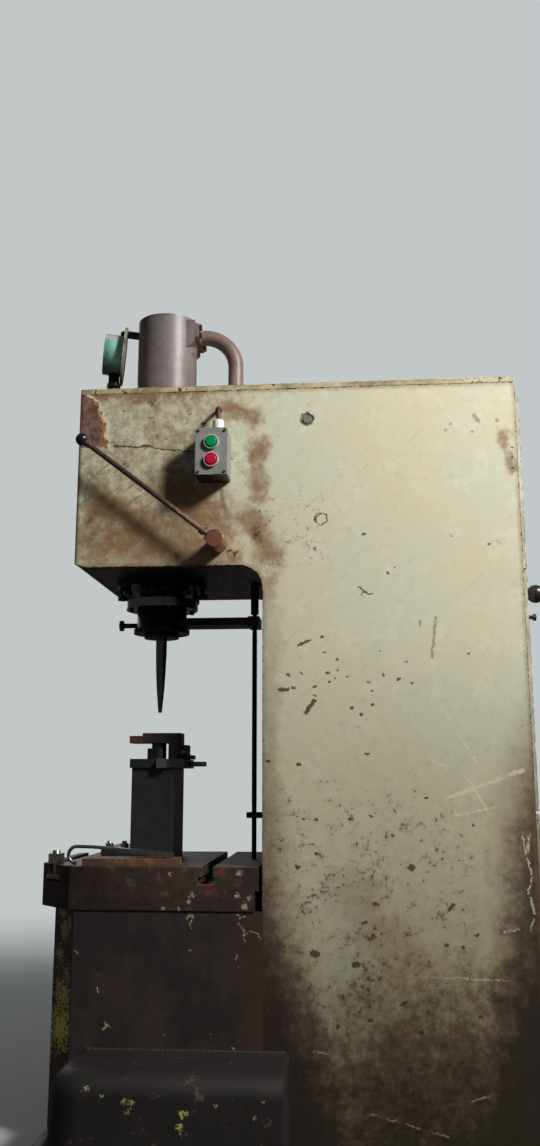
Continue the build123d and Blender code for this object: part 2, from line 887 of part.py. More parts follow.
with BuildPart() as punch_holder:
    with BuildSketch(Plane.XY.offset(holder_bottom_z)):
        Circle(holder_lip_d / 2)
    extrude(amount=holder_lip_t)
    with BuildSketch(Plane.XY.offset(holder_bottom_z + holder_lip_t)):
        Circle(holder_d / 2)
    extrude(amount=holder_h)
    with BuildSketch(Plane.XY.offset(holder_bottom_z)):
        Circle(shank_d / 2)
    extrude(amount=holder_lip_t + holder_h - shank_top_gap, mode=Mode.SUBTRACT)
    with BuildSketch(Plane.YZ.offset(-shank_d / 2)):
        with Locations((0, clamp_z)):
            Circle(clamp_screw_d / 2)
    extrude(amount=-holder_d / 2, mode=Mode.SUBTRACT)
save(punch_holder, "punch_holder")

# Notched ring nut that keeps the punch in the holder
with BuildPart() as holder_nut:
    with BuildSketch(Plane.XY.offset(ring_bottom_z)):
        Circle(ring_d / 2)
        Circle(punch_d / 2, mode=Mode.SUBTRACT)
        with PolarLocations(ring_d / 2, ring_notches):
            Rectangle(ring_notch, ring_notch, mode=Mode.SUBTRACT)
    extrude(amount=ring_t)
save(holder_nut, "holder_nut")

with BuildPart() as punch:
    with BuildSketch(Plane.XZ):
        with BuildLine():
            tip_z = ring_bottom_z - punch_length
            Polyline(
                (0, tip_z),
                (punch_tip_d / 2, tip_z),
                (punch_waist_d / 2, ring_bottom_z - punch_waist),
            )
            Spline(
                (punch_waist_d / 2, ring_bottom_z - punch_waist),
                (punch_knee_d / 2, ring_bottom_z - punch_knee),
                (punch_d / 2, ring_bottom_z),
            )
            Polyline(
                (punch_d / 2, ring_bottom_z),
                (punch_d / 2, holder_bottom_z),
                (shank_d / 2, holder_bottom_z),
                (shank_d / 2, disc_bottom_z - shank_top_gap),
                (0, disc_bottom_z - shank_top_gap),
                (0, tip_z),
            )
        make_face()
    revolve(axis=Axis.Z)
save(punch, "punch")

# Flat arm from the holder to the rod behind it
with BuildPart() as guide_arm:
    with BuildSketch(Plane.XY.offset(arm_bottom_z)):
        Rectangle(rod_x, arm_w, align=(Align.MIN, Align.CENTER))
    extrude(amount=arm_t)
    with BuildSketch(Plane.XY.offset(arm_bottom_z - (arm_block_t - arm_t) / 2)):
        with Locations((rod_x, 0)):
            Rectangle(arm_block_l, arm_w)
    extrude(amount=arm_block_t)
    with BuildSketch(Plane.XY.offset(holder_bottom_z)):
        Circle(holder_d / 2)
        with Locations((rod_x, 0)):
            Circle(rod_d / 2 + arm_rod_gap)
    extrude(amount=holder_h + holder_lip_t, mode=Mode.SUBTRACT)
save(guide_arm, "guide_arm")

# Port block on the cylinder, with a sloping heel below it
with BuildPart() as port_block:
    with BuildSketch(Plane.XZ.offset(-port_w / 2)):
        with BuildLine():
            Polyline(
                (0, port_z + port_h / 2),
                (port_face_x, port_z + port_h / 2),
                (port_face_x, port_z - port_h / 2),
                (port_back_x, port_z - port_h / 2 - port_heel),
                (0, port_z - port_h / 2 - port_heel),
                close=True,
            )
        make_face()
    extrude(amount=port_w)
    with BuildSketch(Plane.XY.offset(underside_z)):
        Circle(barrel_d / 2)
    extrude(amount=barrel_top_z - underside_z, mode=Mode.SUBTRACT)
    with BuildSketch(Plane.YZ):
        with Locations((0, port_z)):
            Circle(port_bore / 2)
    extrude(amount=port_face_x, mode=Mode.SUBTRACT)
save(port_block, "port_block")

with BuildPart() as pipe_flange:
    with BuildSketch(Plane.YZ.offset(port_face_x)):
        with Locations((0, port_z)):
            RectangleRounded(port_w, pipe_flange_h, pipe_screw_inset / 2)
            Circle(pipe_bore / 2, mode=Mode.SUBTRACT)
    extrude(amount=pipe_flange_t)
save(pipe_flange, "pipe_flange")

# Feed pipe, bent down to the valve inside the head
pipe_start_x = port_face_x + pipe_flange_t
with BuildPart() as feed_pipe:
    with BuildLine() as pipe_path:
        FilletPolyline(
            (pipe_start_x, 0, port_z),
            (pipe_x, 0, port_z),
            (pipe_x, 0, valve_top_z),
            radius=pipe_bend_r,
        )
    with BuildSketch(Plane.YZ.offset(pipe_start_x)):
        with Locations((0, port_z)):
            Circle(pipe_d / 2)
            Circle(pipe_bore / 2, mode=Mode.SUBTRACT)
    sweep(path=pipe_path.wires()[0])
    with BuildSketch(Plane.XY.offset(frame_top_z)):
        with Locations((pipe_x, 0)):
            Circle(pipe_root_d / 2)
            Circle(pipe_d / 2, mode=Mode.SUBTRACT)
    extrude(amount=pipe_root_h)
save(feed_pipe, "feed_pipe")

# Pressure gauge, tilted back on its bracket
stud_rise = (gauge_stud_z - gauge_z) / cos(radians(gauge_tilt))
with BuildPart() as gauge_case:
    with BuildSketch(gauge_plane):
        Circle(gauge_flange_d / 2)
        with Locations((0, stud_rise)):
            Circle(gauge_stud_d / 2, mode=Mode.SUBTRACT)
    extrude(amount=gauge_flange_t)
    with BuildSketch(gauge_plane.offset(gauge_flange_t)):
        Circle(gauge_d / 2)
    extrude(amount=gauge_depth)
    with BuildSketch(gauge_plane.offset(gauge_flange_t + gauge_wall)):
        Circle(gauge_d / 2 - gauge_wall)
    extrude(amount=gauge_depth, mode=Mode.SUBTRACT)
save(gauge_case, "gauge_case")

with BuildPart() as gauge_dial:
    with BuildSketch(gauge_plane.offset(dial_depth)):
        Circle(gauge_d / 2 - gauge_wall)
        Circle(spindle_d / 2 + spindle_gap, mode=Mode.SUBTRACT)
    extrude(amount=dial_t)
save(gauge_dial, "gauge_dial")

with BuildPart() as gauge_glass:
    with BuildSketch(gauge_plane.offset(glass_depth)):
        Circle(gauge_d / 2 - gauge_wall)
    extrude(amount=glass_t)
save(gauge_glass, "gauge_glass")

# The pointer rests on zero, at the lower left of the dial
pointer_rest = radians(pointer_turn)
pointer_across = gauge_plane.x_dir * cos(pointer_rest) + gauge_plane.y_dir * sin(pointer_rest)
pointer_centre = gauge_plane.offset(dial_depth + dial_t + pointer_lift).origin
pointer_plane = Plane(pointer_centre, x_dir=pointer_across, z_dir=gauge_normal)
with BuildPart() as gauge_pointer:
    with BuildSketch(pointer_plane):
        with BuildLine():
            Polyline(
                (-pointer_w / 2, -pointer_tail),
                (pointer_w / 2, -pointer_tail),
                (pointer_tip_w / 2, pointer_l),
                (-pointer_tip_w / 2, pointer_l),
                close=True,
            )
        make_face()
        Circle(pointer_hub_d / 2)
    extrude(amount=pointer_t)
    with BuildSketch(pointer_plane):
        Circle(spindle_d / 2)
    extrude(amount=-2 * pointer_lift - dial_t)
save(gauge_pointer, "gauge_pointer")

# What carries the gauge: its stem and pipe below, and the stud from the cylinder behind
stem_top_z = gauge_z - gauge_d / 2 + stem_seat
stem_nut_z = stem_top_z - stem_h - stem_nut_h
with BuildPart() as gauge_mounts:
    with BuildSketch(Plane.XY.offset(stem_nut_z + stem_nut_h)):
        with Locations((stem_x, 0)):
            Circle(stem_d / 2)
    extrude(amount=stem_h)
    with BuildSketch(gauge_plane.offset(gauge_flange_t)):
        Circle(gauge_d / 2)
    extrude(amount=gauge_depth, mode=Mode.SUBTRACT)
    with BuildSketch(Plane.XY.offset(stem_nut_z)):
        with Locations((stem_x, 0)):
            RegularPolygon(stem_nut_af / 2, 6, major_radius=False)
    extrude(amount=stem_nut_h)
    with BuildSketch(Plane.XY.offset(stem_nut_z)):
        with Locations((stem_x, 0)):
            Circle(gauge_pipe_d / 2)
    extrude(amount=plate_top_z - gauge_pipe_tail - stem_nut_z)
    with BuildSketch(gauge_plane):
        with Locations((0, stud_rise)):
            Circle(gauge_stud_boss_d / 2)
    extrude(amount=gauge_x)
    with BuildSketch(gauge_plane):
        with Locations((0, stud_rise)):
            Circle(gauge_stud_d / 2 - stud_gap)
    extrude(amount=stud_tail)
    with BuildSketch(gauge_plane.offset(gauge_flange_t)):
        with Locations((0, stud_rise)):
            RegularPolygon(gauge_nut_af / 2, 6, major_radius=False)
    extrude(amount=gauge_nut_h)
    with BuildSketch(Plane.XY.offset(underside_z)):
        Circle(barrel_d / 2)
    extrude(amount=barrel_top_z - underside_z, mode=Mode.SUBTRACT)
save(gauge_mounts, "gauge_mounts")

# Push-button box on the near side plate
box_mid = (box_x, box_z)
with BuildPart() as control_box:
    with BuildSketch(side_face):
        with Locations(box_mid):
            RectangleRounded(box_w, box_h, box_corner_r)
    extrude(amount=box_depth)
    with BuildSketch(side_face.offset(box_wall)):
        with Locations(box_mid):
            RectangleRounded(box_w - 2 * box_wall, box_h - 2 * box_wall, box_corner_r / 2)
    extrude(amount=box_depth, mode=Mode.SUBTRACT)
    with BuildSketch(Plane.XY.offset(box_z + box_h / 2)):
        with Locations((gland_x, gland_y)):
            Circle(gland_neck_d / 2)
    extrude(amount=-2 * box_wall, mode=Mode.SUBTRACT)
save(control_box, "control_box")

button_places = ((box_x, box_z + button_pitch / 2), (box_x, box_z - button_pitch / 2))
with BuildPart() as control_box_lid:
    with BuildSketch(side_face.offset(box_depth)):
        with Locations(box_mid):
            RectangleRounded(box_w, box_h, box_corner_r)
        with Locations(*button_places):
            Circle(button_d / 2 + button_hole_gap, mode=Mode.SUBTRACT)
    extrude(amount=lid_t)
save(control_box_lid, "control_box_lid")

with BuildPart() as button_bezels:
    with BuildSketch(side_face.offset(box_depth + lid_t)):
        with Locations(*button_places):
            Circle(bezel_d / 2)
            Circle(button_d / 2 + button_hole_gap, mode=Mode.SUBTRACT)
    extrude(amount=bezel_t)
save(button_bezels, "button_bezels")

for place, button_name in zip(button_places, ("start_button", "stop_button")):
    with BuildPart() as button:
        with BuildSketch(side_face.offset(box_depth + lid_t + button_stand)):
            with Locations(place):
                Circle(button_d / 2)
        extrude(amount=-button_stand - lid_t)
        fillet(button.edges().group_by(Axis.Y)[0], button_edge_r)
        with BuildSketch(side_face.offset(box_depth)):
            with Locations(place):
                Circle(button_stem_d / 2)
        extrude(amount=-button_stem_l)
    save(button, button_name)

# Cable gland on top of the box, and the short cable into the side plate
box_top_z = box_z + box_h / 2
with BuildPart() as cable_gland:
    with BuildSketch(Plane.XY.offset(box_top_z)):
        with Locations((gland_x, gland_y)):
            Circle(gland_d / 2)
            Circle(cable_d / 2, mode=Mode.SUBTRACT)
    extrude(amount=gland_h)
    chamfer(cable_gland.edges().group_by(Axis.Z)[-1].sort_by(Edge.length)[-1], gland_nose)
    with BuildSketch(Plane.XY.offset(box_top_z)):
        with Locations((gland_x, gland_y)):
            Circle(gland_neck_d / 2)
            Circle(cable_d / 2, mode=Mode.SUBTRACT)
    extrude(amount=-gland_neck_l)
save(cable_gland, "cable_gland")

cable_end_y = cable_inside - inner_half
with BuildPart() as control_cable:
    with BuildLine() as cable_path:
        FilletPolyline(
            (gland_x, gland_y, box_top_z - gland_neck_l - cable_inside),
            (gland_x, gland_y, cable_hole_z),
            (box_x + cable_end_shift, cable_end_y, cable_hole_z),
            radius=cable_bend_r,
        )
    with BuildSketch(Plane.XY.offset(box_top_z - gland_neck_l - cable_inside)):
        with Locations((gland_x, gland_y)):
            Circle(cable_d / 2)
    sweep(path=cable_path.wires()[0])
save(control_cable, "control_cable")

# Bush of the lever's shaft in the near side plate
with BuildPart() as lever_bush:
    with BuildSketch(Plane.XZ.offset(inner_half - lever_bush_proud)):
        with Locations((lever_x, lever_z)):
            Circle(shaft_d / 2 + lever_bush_wall)
            Circle(shaft_d / 2 + running_fit, mode=Mode.SUBTRACT)
    extrude(amount=side_plate_t + 2 * lever_bush_proud)
save(lever_bush, "lever_bush")

# Lever hub, forged in one piece with its shaft and the forked crank inside the head
hub_start_y = half_width + 2 * lever_bush_proud
with BuildPart() as lever_hub:
    with BuildSketch(Plane.XZ.offset(hub_start_y)):
        with Locations((lever_x, lever_z)):
            Circle(hub_d / 2)
    extrude(amount=-hub_end_y - hub_start_y)
    fillet(lever_hub.edges().group_by(Axis.Y)[0], hub_edge_r)
    with BuildSketch(lever_axis_plane):
        Circle(hub_boss_d / 2)
    extrude(amount=hub_boss_l)
    with BuildSketch(Plane.XZ.offset(-crank_w / 2)):
        with Locations((lever_x, lever_z)):
            Circle(shaft_d / 2)
    extrude(amount=hub_start_y + crank_w / 2)
    with BuildSketch(Plane.XY.offset(lever_z - crank_t / 2)):
        with Locations((lever_x, 0)):
            Rectangle(rod_x - lever_x + crank_tip, crank_w, align=(Align.MIN, Align.CENTER))
    extrude(amount=crank_t)
    with BuildSketch(Plane.XY.offset(lever_z - crank_t / 2)):
        with Locations((rod_x - rod_d / 2 - crank_slot_gap, 0)):
            fork_slot_w = rod_d + 2 * rod_side_gap
            Rectangle(rod_d + 2 * crank_tip, fork_slot_w, align=(Align.MIN, Align.CENTER))
    extrude(amount=crank_t, mode=Mode.SUBTRACT)
save(lever_hub, "lever_hub")

# Lever rod with its collar and the bright ferrule that the ball is screwed against
ball_seat = lever_length - sqrt(lever_ball_d**2 - ferrule_d**2) / 2
with BuildPart() as lever_rod:
    with BuildSketch(lever_axis_plane.offset(hub_boss_l)):
        Circle(lever_rod_d / 2)
    extrude(amount=ball_seat + lever_thread_l - hub_boss_l)
    with BuildSketch(lever_axis_plane.offset(lever_collar_r)):
        Circle(lever_collar_d / 2)
    extrude(amount=lever_collar_l)
    with BuildSketch(lever_axis_plane.offset(ball_seat - ferrule_l)):
        Circle(ferrule_d / 2)
    extrude(amount=ferrule_l)
save(lever_rod, "lever_rod")

ball_plane = lever_axis_plane.offset(lever_length)
with BuildPart() as lever_ball:
    with BuildSketch(ball_plane):
        Circle(lever_ball_d / 2)
        with Locations((-lever_ball_d / 2, 0)):
            Rectangle(lever_ball_d, lever_ball_d, mode=Mode.SUBTRACT)
    revolve(axis=Axis(ball_plane.origin, ball_plane.y_dir))
    with BuildSketch(lever_axis_plane.offset(ball_seat)):
        Circle(ferrule_d / 2)
    extrude(amount=-ferrule_l, mode=Mode.SUBTRACT)
    with BuildSketch(lever_axis_plane.offset(ball_seat)):
        Circle(lever_rod_d / 2)
    extrude(amount=lever_thread_l, mode=Mode.SUBTRACT)
save(lever_ball, "lever_ball")

# Trip rod along the column, with the two collars that the crank's fork moves
rod_top_z = valve_z + spool_bottom_gap
collar_offset = crank_t / 2 + rod_collar_gap
with BuildPart() as trip_rod:
    with BuildSketch(Plane.XY.offset(rod_bottom_z)):
        with Locations((rod_x, 0)):
            Circle(rod_d / 2)
    extrude(amount=rod_top_z - rod_bottom_z)
    for collar_z in (lever_z - collar_offset - rod_collar_t, lever_z + collar_offset):
        with BuildSketch(Plane.XY.offset(collar_z)):
            with Locations((rod_x, 0)):
                Circle(rod_collar_d / 2)
        extrude(amount=rod_collar_t)
save(trip_rod, "trip_rod")

with BuildPart() as valve_spool:
    with BuildSketch(Plane.XY.offset(rod_top_z)):
        with Locations((rod_x, 0)):
            Circle(spool_d / 2 - running_fit)
    extrude(amount=spool_l)
    with BuildSketch(Plane.XY.offset(rod_top_z + spool_l / 3)):
        with Locations((rod_x, 0)):
            Circle(spool_d / 2)
            Circle(spool_d / 3, mode=Mode.SUBTRACT)
    extrude(amount=spool_l / 3, mode=Mode.SUBTRACT)
save(valve_spool, "valve_spool")

with BuildPart() as valve_block:
    with BuildSketch(Plane.XY.offset(valve_z)):
        with Locations((valve_front, 0)):
            valve_l = valve_rear - valve_front
            Rectangle(valve_l, 2 * valve_half_w, align=(Align.MIN, Align.CENTER))
    extrude(amount=valve_h)
    with BuildSketch(Plane.XY.offset(valve_z)):
        with Locations((rod_x, 0)):
            Circle(spool_d / 2)
    extrude(amount=spool_bottom_gap + spool_l + spool_travel_gap, mode=Mode.SUBTRACT)
save(valve_block, "valve_block")

# What guides the trip rod: the sleeve under the head and the bracket on the column
with BuildPart() as rod_guides:
    with BuildSketch(Plane.XY.offset(rod_sleeve_bottom_z)):
        with Locations((rod_x, 0)):
            Circle(rod_sleeve_d / 2)
            Circle(rod_d / 2 + running_fit, mode=Mode.SUBTRACT)
    extrude(amount=rod_sleeve_top_z - rod_sleeve_bottom_z)
    with BuildSketch(Plane.XY.offset(bracket_z - bracket_t / 2)):
        with Locations((throat_depth, 0)):
            Rectangle(throat_depth - rod_x, bracket_w, align=(Align.MAX, Align.CENTER))
        with Locations((rod_x, 0)):
            Circle(bracket_w / 2)
            Circle(rod_d / 2 + running_fit, mode=Mode.SUBTRACT)
    extrude(amount=bracket_t)
save(rod_guides, "rod_guides")

# Motor, foot mounted on the base plate
with BuildPart() as motor:
    with BuildSketch(motor_plane.offset(motor_front)):
        Circle(motor_d / 2)
    extrude(amount=motor_l)
    with BuildSketch(Plane.XY.offset(base_plate_t)):
        with Locations((motor_foot_front, 0)):
            foot_l = motor_l - 2 * motor_foot_inset
            Rectangle(foot_l, motor_d, align=(Align.MIN, Align.CENTER))
    extrude(amount=motor_foot_t)
    with BuildSketch(Plane.XY.offset(base_plate_t)):
        with Locations((motor_foot_front, 0)):
            Rectangle(foot_l, motor_d / 2, align=(Align.MIN, Align.CENTER))
    extrude(amount=motor_foot_t * 2)
    with BuildSketch(motor_plane.offset(motor_front + motor_wall)):
        Circle(motor_d / 2 - motor_wall)
    extrude(amount=motor_l - 2 * motor_wall, mode=Mode.SUBTRACT)
    with BuildSketch(motor_plane.offset(motor_front)):
        Circle(drive_shaft_d / 2 + running_fit)
    extrude(amount=motor_l - motor_wall / 2, mode=Mode.SUBTRACT)
save(motor, "motor")

# Pump with its bell housing, flanged to the motor
pump_cavity_r = pump_d / 2 - pump_wall
with BuildPart() as pump:
    with BuildSketch(motor_plane.offset(bell_front)):
        Circle(bell_d / 2)
    extrude(amount=bell_l)
    with BuildSketch(motor_plane.offset(pump_front)):
        Circle(pump_d / 2)
    extrude(amount=pump_l)
    with BuildSketch(motor_plane.offset(bell_front + bell_wall)):
        Circle(bell_d / 2 - bell_wall)
    extrude(amount=bell_l - bell_wall, mode=Mode.SUBTRACT)
    with BuildSketch(motor_plane.offset(pump_front + pump_wall)):
        Circle(pump_cavity_r)
    extrude(amount=pump_rotor_l + 2 * rotor_gap, mode=Mode.SUBTRACT)
    with BuildSketch(motor_plane.offset(pump_front + pump_wall)):
        Circle(drive_shaft_d / 2 + running_fit)
    extrude(amount=motor_front - pump_front - pump_wall, mode=Mode.SUBTRACT)
save(pump, "pump")

# Shaft line: motor rotor, coupling and pump rotor on one axis
with BuildPart() as motor_rotor:
    with BuildSketch(motor_plane.offset(pump_front + pump_wall + rotor_gap)):
        Circle(pump_cavity_r - rotor_gap)
    extrude(amount=pump_rotor_l)
    with BuildSketch(motor_plane.offset(pump_front + pump_wall + rotor_gap)):
        Circle(drive_shaft_d / 2)
    extrude(amount=motor_rear - motor_wall / 2 - 2 * rotor_gap - pump_front - pump_wall)
    with BuildSketch(motor_plane.offset(bell_front + bell_wall + rotor_gap)):
        Circle(coupling_d / 2)
    extrude(amount=coupling_l)
    with BuildSketch(motor_plane.offset(motor_front + rotor_inset)):
        Circle(motor_d / 2 - motor_wall - rotor_gap)
    extrude(amount=motor_l - 2 * rotor_inset)
save(motor_rotor, "motor_rotor")

# Pressure pipe from the pump up to the valve
pump_top_z = shaft_z + pump_d / 2
with BuildPart() as pressure_pipe:
    with BuildLine() as pressure_path:
        FilletPolyline(
            (valve_rear, 0, pressure_pipe_z),
            (pressure_pipe_x, 0, pressure_pipe_z),
            (pressure_pipe_x, 0, pump_top_z),
            radius=pressure_bend_r,
        )
    with BuildSketch(Plane.YZ.offset(valve_rear)):
        with Locations((0, pressure_pipe_z)):
            Circle(pressure_pipe_d / 2)
            Circle(pressure_pipe_bore / 2, mode=Mode.SUBTRACT)
    sweep(path=pressure_path.wires()[0])
    with BuildSketch(Plane.XY.offset(pump_top_z)):
        with Locations((pressure_pipe_x, 0)):
            Circle(pressure_pipe_d / 2)
            Circle(pressure_pipe_bore / 2, mode=Mode.SUBTRACT)
    extrude(amount=-pump_d / 2)
    with BuildSketch(motor_plane.offset(pump_front)):
        Circle(pump_d / 2)
    extrude(amount=bell_front - pump_front, mode=Mode.SUBTRACT)
save(pressure_pipe, "pressure_pipe")

# Riser: a length of box section with a toe that is bolted down at its front
riser_half = riser_w / 2
with BuildPart() as riser_block:
    with BuildSketch(Plane.XY.offset(bed_height)):
        Rectangle(riser_w, riser_depth)
        Rectangle(riser_w - 2 * riser_wall, riser_depth - 2 * riser_wall, mode=Mode.SUBTRACT)
    extrude(amount=riser_h)
    with BuildSketch(Plane.XY.offset(bed_height)):
        with Locations((-riser_half, 0)):
            Rectangle(riser_toe_l, riser_depth, align=(Align.MAX, Align.CENTER))
    extrude(amount=riser_toe_t)
save(riser_block, "riser_block")

with BuildPart() as die_plate:
    with BuildSketch(Plane.XY.offset(die_plate_z)):
        with Locations((-die_plate_left, 0)):
            plate_l = die_plate_left + die_plate_right
            Rectangle(plate_l, die_plate_w, align=(Align.MIN, Align.CENTER))
        Circle(die_bore / 2, mode=Mode.SUBTRACT)
    extrude(amount=die_plate_t)
save(die_plate, "die_plate")

with BuildPart() as die_bush:
    with BuildSketch(Plane.XY.offset(die_z)):
        Circle(die_d / 2)
    extrude(amount=die_h)
    with BuildSketch(Plane.XY.offset(die_z)):
        Rectangle(die_lug_l, die_lug_w, align=(Align.MAX, Align.CENTER))
    extrude(amount=die_lug_h)
    with BuildSketch(Plane.XY.offset(die_z)):
        Circle(die_bore / 2)
    extrude(amount=die_h, mode=Mode.SUBTRACT)
save(die_bush, "die_bush")

# Stripper: an L-shaped arm on a stepped heel
with BuildPart() as stripper_arm:
    with BuildSketch(Plane.XZ.offset(-bar_w / 2)):
        with BuildLine():
            Polyline(
                (-bar_left, bar_z),
                (bar_right - leg_l, bar_z),
                (bar_right - leg_l, die_z),
                (bar_right + heel_l + toe_l, die_z),
                (bar_right + heel_l + toe_l, die_z + toe_h),
                (bar_right + heel_l, die_z + toe_h),
                (bar_right + heel_l, die_z + heel_h),
                (bar_right, die_z + heel_h),
                (bar_right, bar_z + bar_thick),
                (bar_thin_l - bar_left, bar_z + bar_thick),
                (bar_thin_l - bar_left, bar_z + bar_thin),
                (-bar_left, bar_z + bar_thin),
                close=True,
            )
        make_face()
    extrude(amount=bar_w)
    with BuildSketch(Plane.XY.offset(bar_z)):
        Circle(die_bore / 2)
    extrude(amount=bar_thick, mode=Mode.SUBTRACT)
save(stripper_arm, "stripper_arm")

# Studs, nuts and screws of the tooling, with the square-nut bolt in the left T-slot
toe_top_z = bed_height + riser_toe_t
toe_stud_x = (toe_stud_edge - riser_half - riser_toe_l, -riser_half - toe_stud_gap)
plate_mid_z = die_plate_z + die_plate_t / 2
heel_screw_place = (bar_right + heel_l / 2, die_z + heel_h / 2)
slot_tee_z = bed_height - slot_neck_h
with BuildPart() as fixture_screws:
    with BuildSketch(Plane.XY.offset(toe_top_z)):
        for x in toe_stud_x:
            with Locations((x, toe_stud_y)):
                RegularPolygon(nut_af / 2, 6, major_radius=False)
    extrude(amount=nut_h)
    with BuildSketch(Plane.XY.offset(toe_top_z + nut_h)):
        for x in toe_stud_x:
            with Locations((x, toe_stud_y)):
                Circle(stud_d / 2)
    extrude(amount=nut_h / 2)
    with BuildSketch(Plane.XZ.offset(die_plate_w / 2)):
        with Locations((square_head_x, plate_mid_z)):
            Rectangle(square_head, square_head)
    extrude(amount=square_head_h)
    with BuildSketch(Plane.YZ.offset(die_plate_right)):
        with Locations((end_screw_y, plate_mid_z)):
            Circle(end_screw_d / 2)
    extrude(amount=end_screw_l)
    with BuildSketch(Plane.XZ.offset(bar_w / 2)):
        with Locations(heel_screw_place):
            RegularPolygon(heel_screw_d / 2, 6, major_radius=False)
    extrude(amount=heel_screw_h)
    with BuildSketch(Plane.XY.offset(slot_tee_z)):
        with Locations((slot_x[0], slot_bolt_y)):
            Rectangle(slot_bolt_head, slot_bolt_head)
    extrude(amount=-slot_bolt_head_t)
    with BuildSketch(Plane.XY.offset(slot_tee_z)):
        with Locations((slot_x[0], slot_bolt_y)):
            Circle(slot_bolt_d / 2)
    extrude(amount=slot_neck_h + slot_nut_h + slot_bolt_tail)
    with BuildSketch(Plane.XY.offset(bed_height)):
        with Locations((slot_x[0], slot_bolt_y)):
            Rectangle(slot_nut, slot_nut)
    extrude(amount=slot_nut_h)
save(fixture_screws, "fixture_screws")

# What lies loose on the bed: a flat packing plate, and a bent hook with a flat handle on it
with BuildPart() as packing_plate:
    with BuildSketch(Plane.XY.offset(bed_height)):
        with Locations((packing_x, packing_y)):
            Rectangle(packing_l, packing_w, align=(Align.MIN, Align.MIN))
    extrude(amount=packing_t)
save(packing_plate, "packing_plate")

packing_top_z = bed_height + packing_t
hook_bottom_z = bed_height + hook_d / 2
hook_top_z = hook_bottom_z + 2 * hook_loop_r
handle_mid_z = packing_top_z + handle_rise + handle_t0 / 2
with BuildPart() as hook_tool:
    with BuildLine() as hook_path:
        ThreePointArc(
            (hook_loop_x, hook_y, hook_bottom_z),
            (hook_loop_x - hook_loop_r, hook_y, hook_bottom_z + hook_loop_r),
            (hook_loop_x, hook_y, hook_top_z),
        )
        Spline(
            (hook_loop_x, hook_y, hook_top_z),
            (handle_x, hook_y, handle_mid_z),
            tangents=((1, 0, 0), (handle_l, 0, -handle_rise)),
        )
    with BuildSketch(Plane((hook_loop_x, hook_y, hook_bottom_z), x_dir=(0, 1, 0), z_dir=(-1, 0, 0))):
        Circle(hook_d / 2)
    sweep(path=hook_path.wires()[0])
    with BuildSketch(Plane.XZ.offset(-hook_y - handle_w / 2)):
        with BuildLine():
            Polyline(
                (handle_x, packing_top_z + handle_rise),
                (handle_x + handle_l, packing_top_z),
                (handle_x + handle_l, packing_top_z + handle_t1),
                (handle_x, packing_top_z + handle_rise + handle_t0),
                close=True,
            )
        make_face()
    extrude(amount=handle_w)
save(hook_tool, "hook_tool")
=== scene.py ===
import json
from math import cos, pi, radians, sin
import bmesh
import bpy
from mathutils import Matrix, Vector

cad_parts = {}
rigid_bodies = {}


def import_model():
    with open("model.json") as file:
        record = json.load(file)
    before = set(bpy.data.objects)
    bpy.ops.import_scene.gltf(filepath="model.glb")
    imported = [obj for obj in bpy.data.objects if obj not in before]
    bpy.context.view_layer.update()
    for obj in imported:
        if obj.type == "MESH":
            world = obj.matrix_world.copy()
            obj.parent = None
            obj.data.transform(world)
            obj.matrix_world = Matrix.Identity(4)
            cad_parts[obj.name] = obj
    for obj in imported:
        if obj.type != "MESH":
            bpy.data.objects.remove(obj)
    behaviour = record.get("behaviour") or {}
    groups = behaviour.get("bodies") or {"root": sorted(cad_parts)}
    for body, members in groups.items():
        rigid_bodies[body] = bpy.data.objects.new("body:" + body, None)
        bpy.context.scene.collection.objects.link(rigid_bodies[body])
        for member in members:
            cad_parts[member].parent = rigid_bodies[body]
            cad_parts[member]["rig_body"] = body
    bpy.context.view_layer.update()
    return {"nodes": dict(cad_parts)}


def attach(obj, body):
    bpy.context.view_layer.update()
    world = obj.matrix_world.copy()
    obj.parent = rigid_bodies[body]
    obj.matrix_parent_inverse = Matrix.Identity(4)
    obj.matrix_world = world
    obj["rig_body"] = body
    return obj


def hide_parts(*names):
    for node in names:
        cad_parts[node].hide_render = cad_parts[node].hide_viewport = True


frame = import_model()

# The studio: the camera stands low on the press's near side and looks slightly up at it. One soft
# lamp hangs up to the right, as in the workshop, and weak fill comes from behind and all round.
photo_height, focal_length, film = 1146, 1013.6, 36
camera_data = bpy.data.cameras.new("camera")
camera_data.sensor_width = film
camera_data.lens = focal_length / photo_height * film
camera = bpy.data.objects.new("camera", camera_data)
camera.location = (0.42957, -2.25487, 0.6868)
camera.rotation_euler = (radians(101.41), 0, radians(4.64))
bpy.context.scene.collection.objects.link(camera)
bpy.context.scene.camera = camera
bpy.context.scene.view_settings.view_transform = "Standard"


def lamp(name, place, target, size, power, colour):
    """Hangs a square soft lamp at a place, facing a target."""
    light = bpy.data.lights.new(name, "AREA")
    light.size = size
    light.energy = power
    light.color = colour
    hung = bpy.data.objects.new(name, light)
    hung.location = place
    hung.rotation_euler = (Vector(target) - Vector(place)).to_track_quat("-Z", "Y").to_euler()
    hung.visible_camera = False
    bpy.context.scene.collection.objects.link(hung)


lamp(
    "key_lamp", (2.37, -1.76, 3.0), target=(0.3, -0.1, 1.0),
    size=0.65, power=146, colour=(1, 0.985, 0.95),
)
lamp(
    "back_fill", (-1.6, 3.3, 2.6), target=(0.2, 0, 0.8),
    size=2.4, power=24, colour=(0.94, 0.97, 1),
)


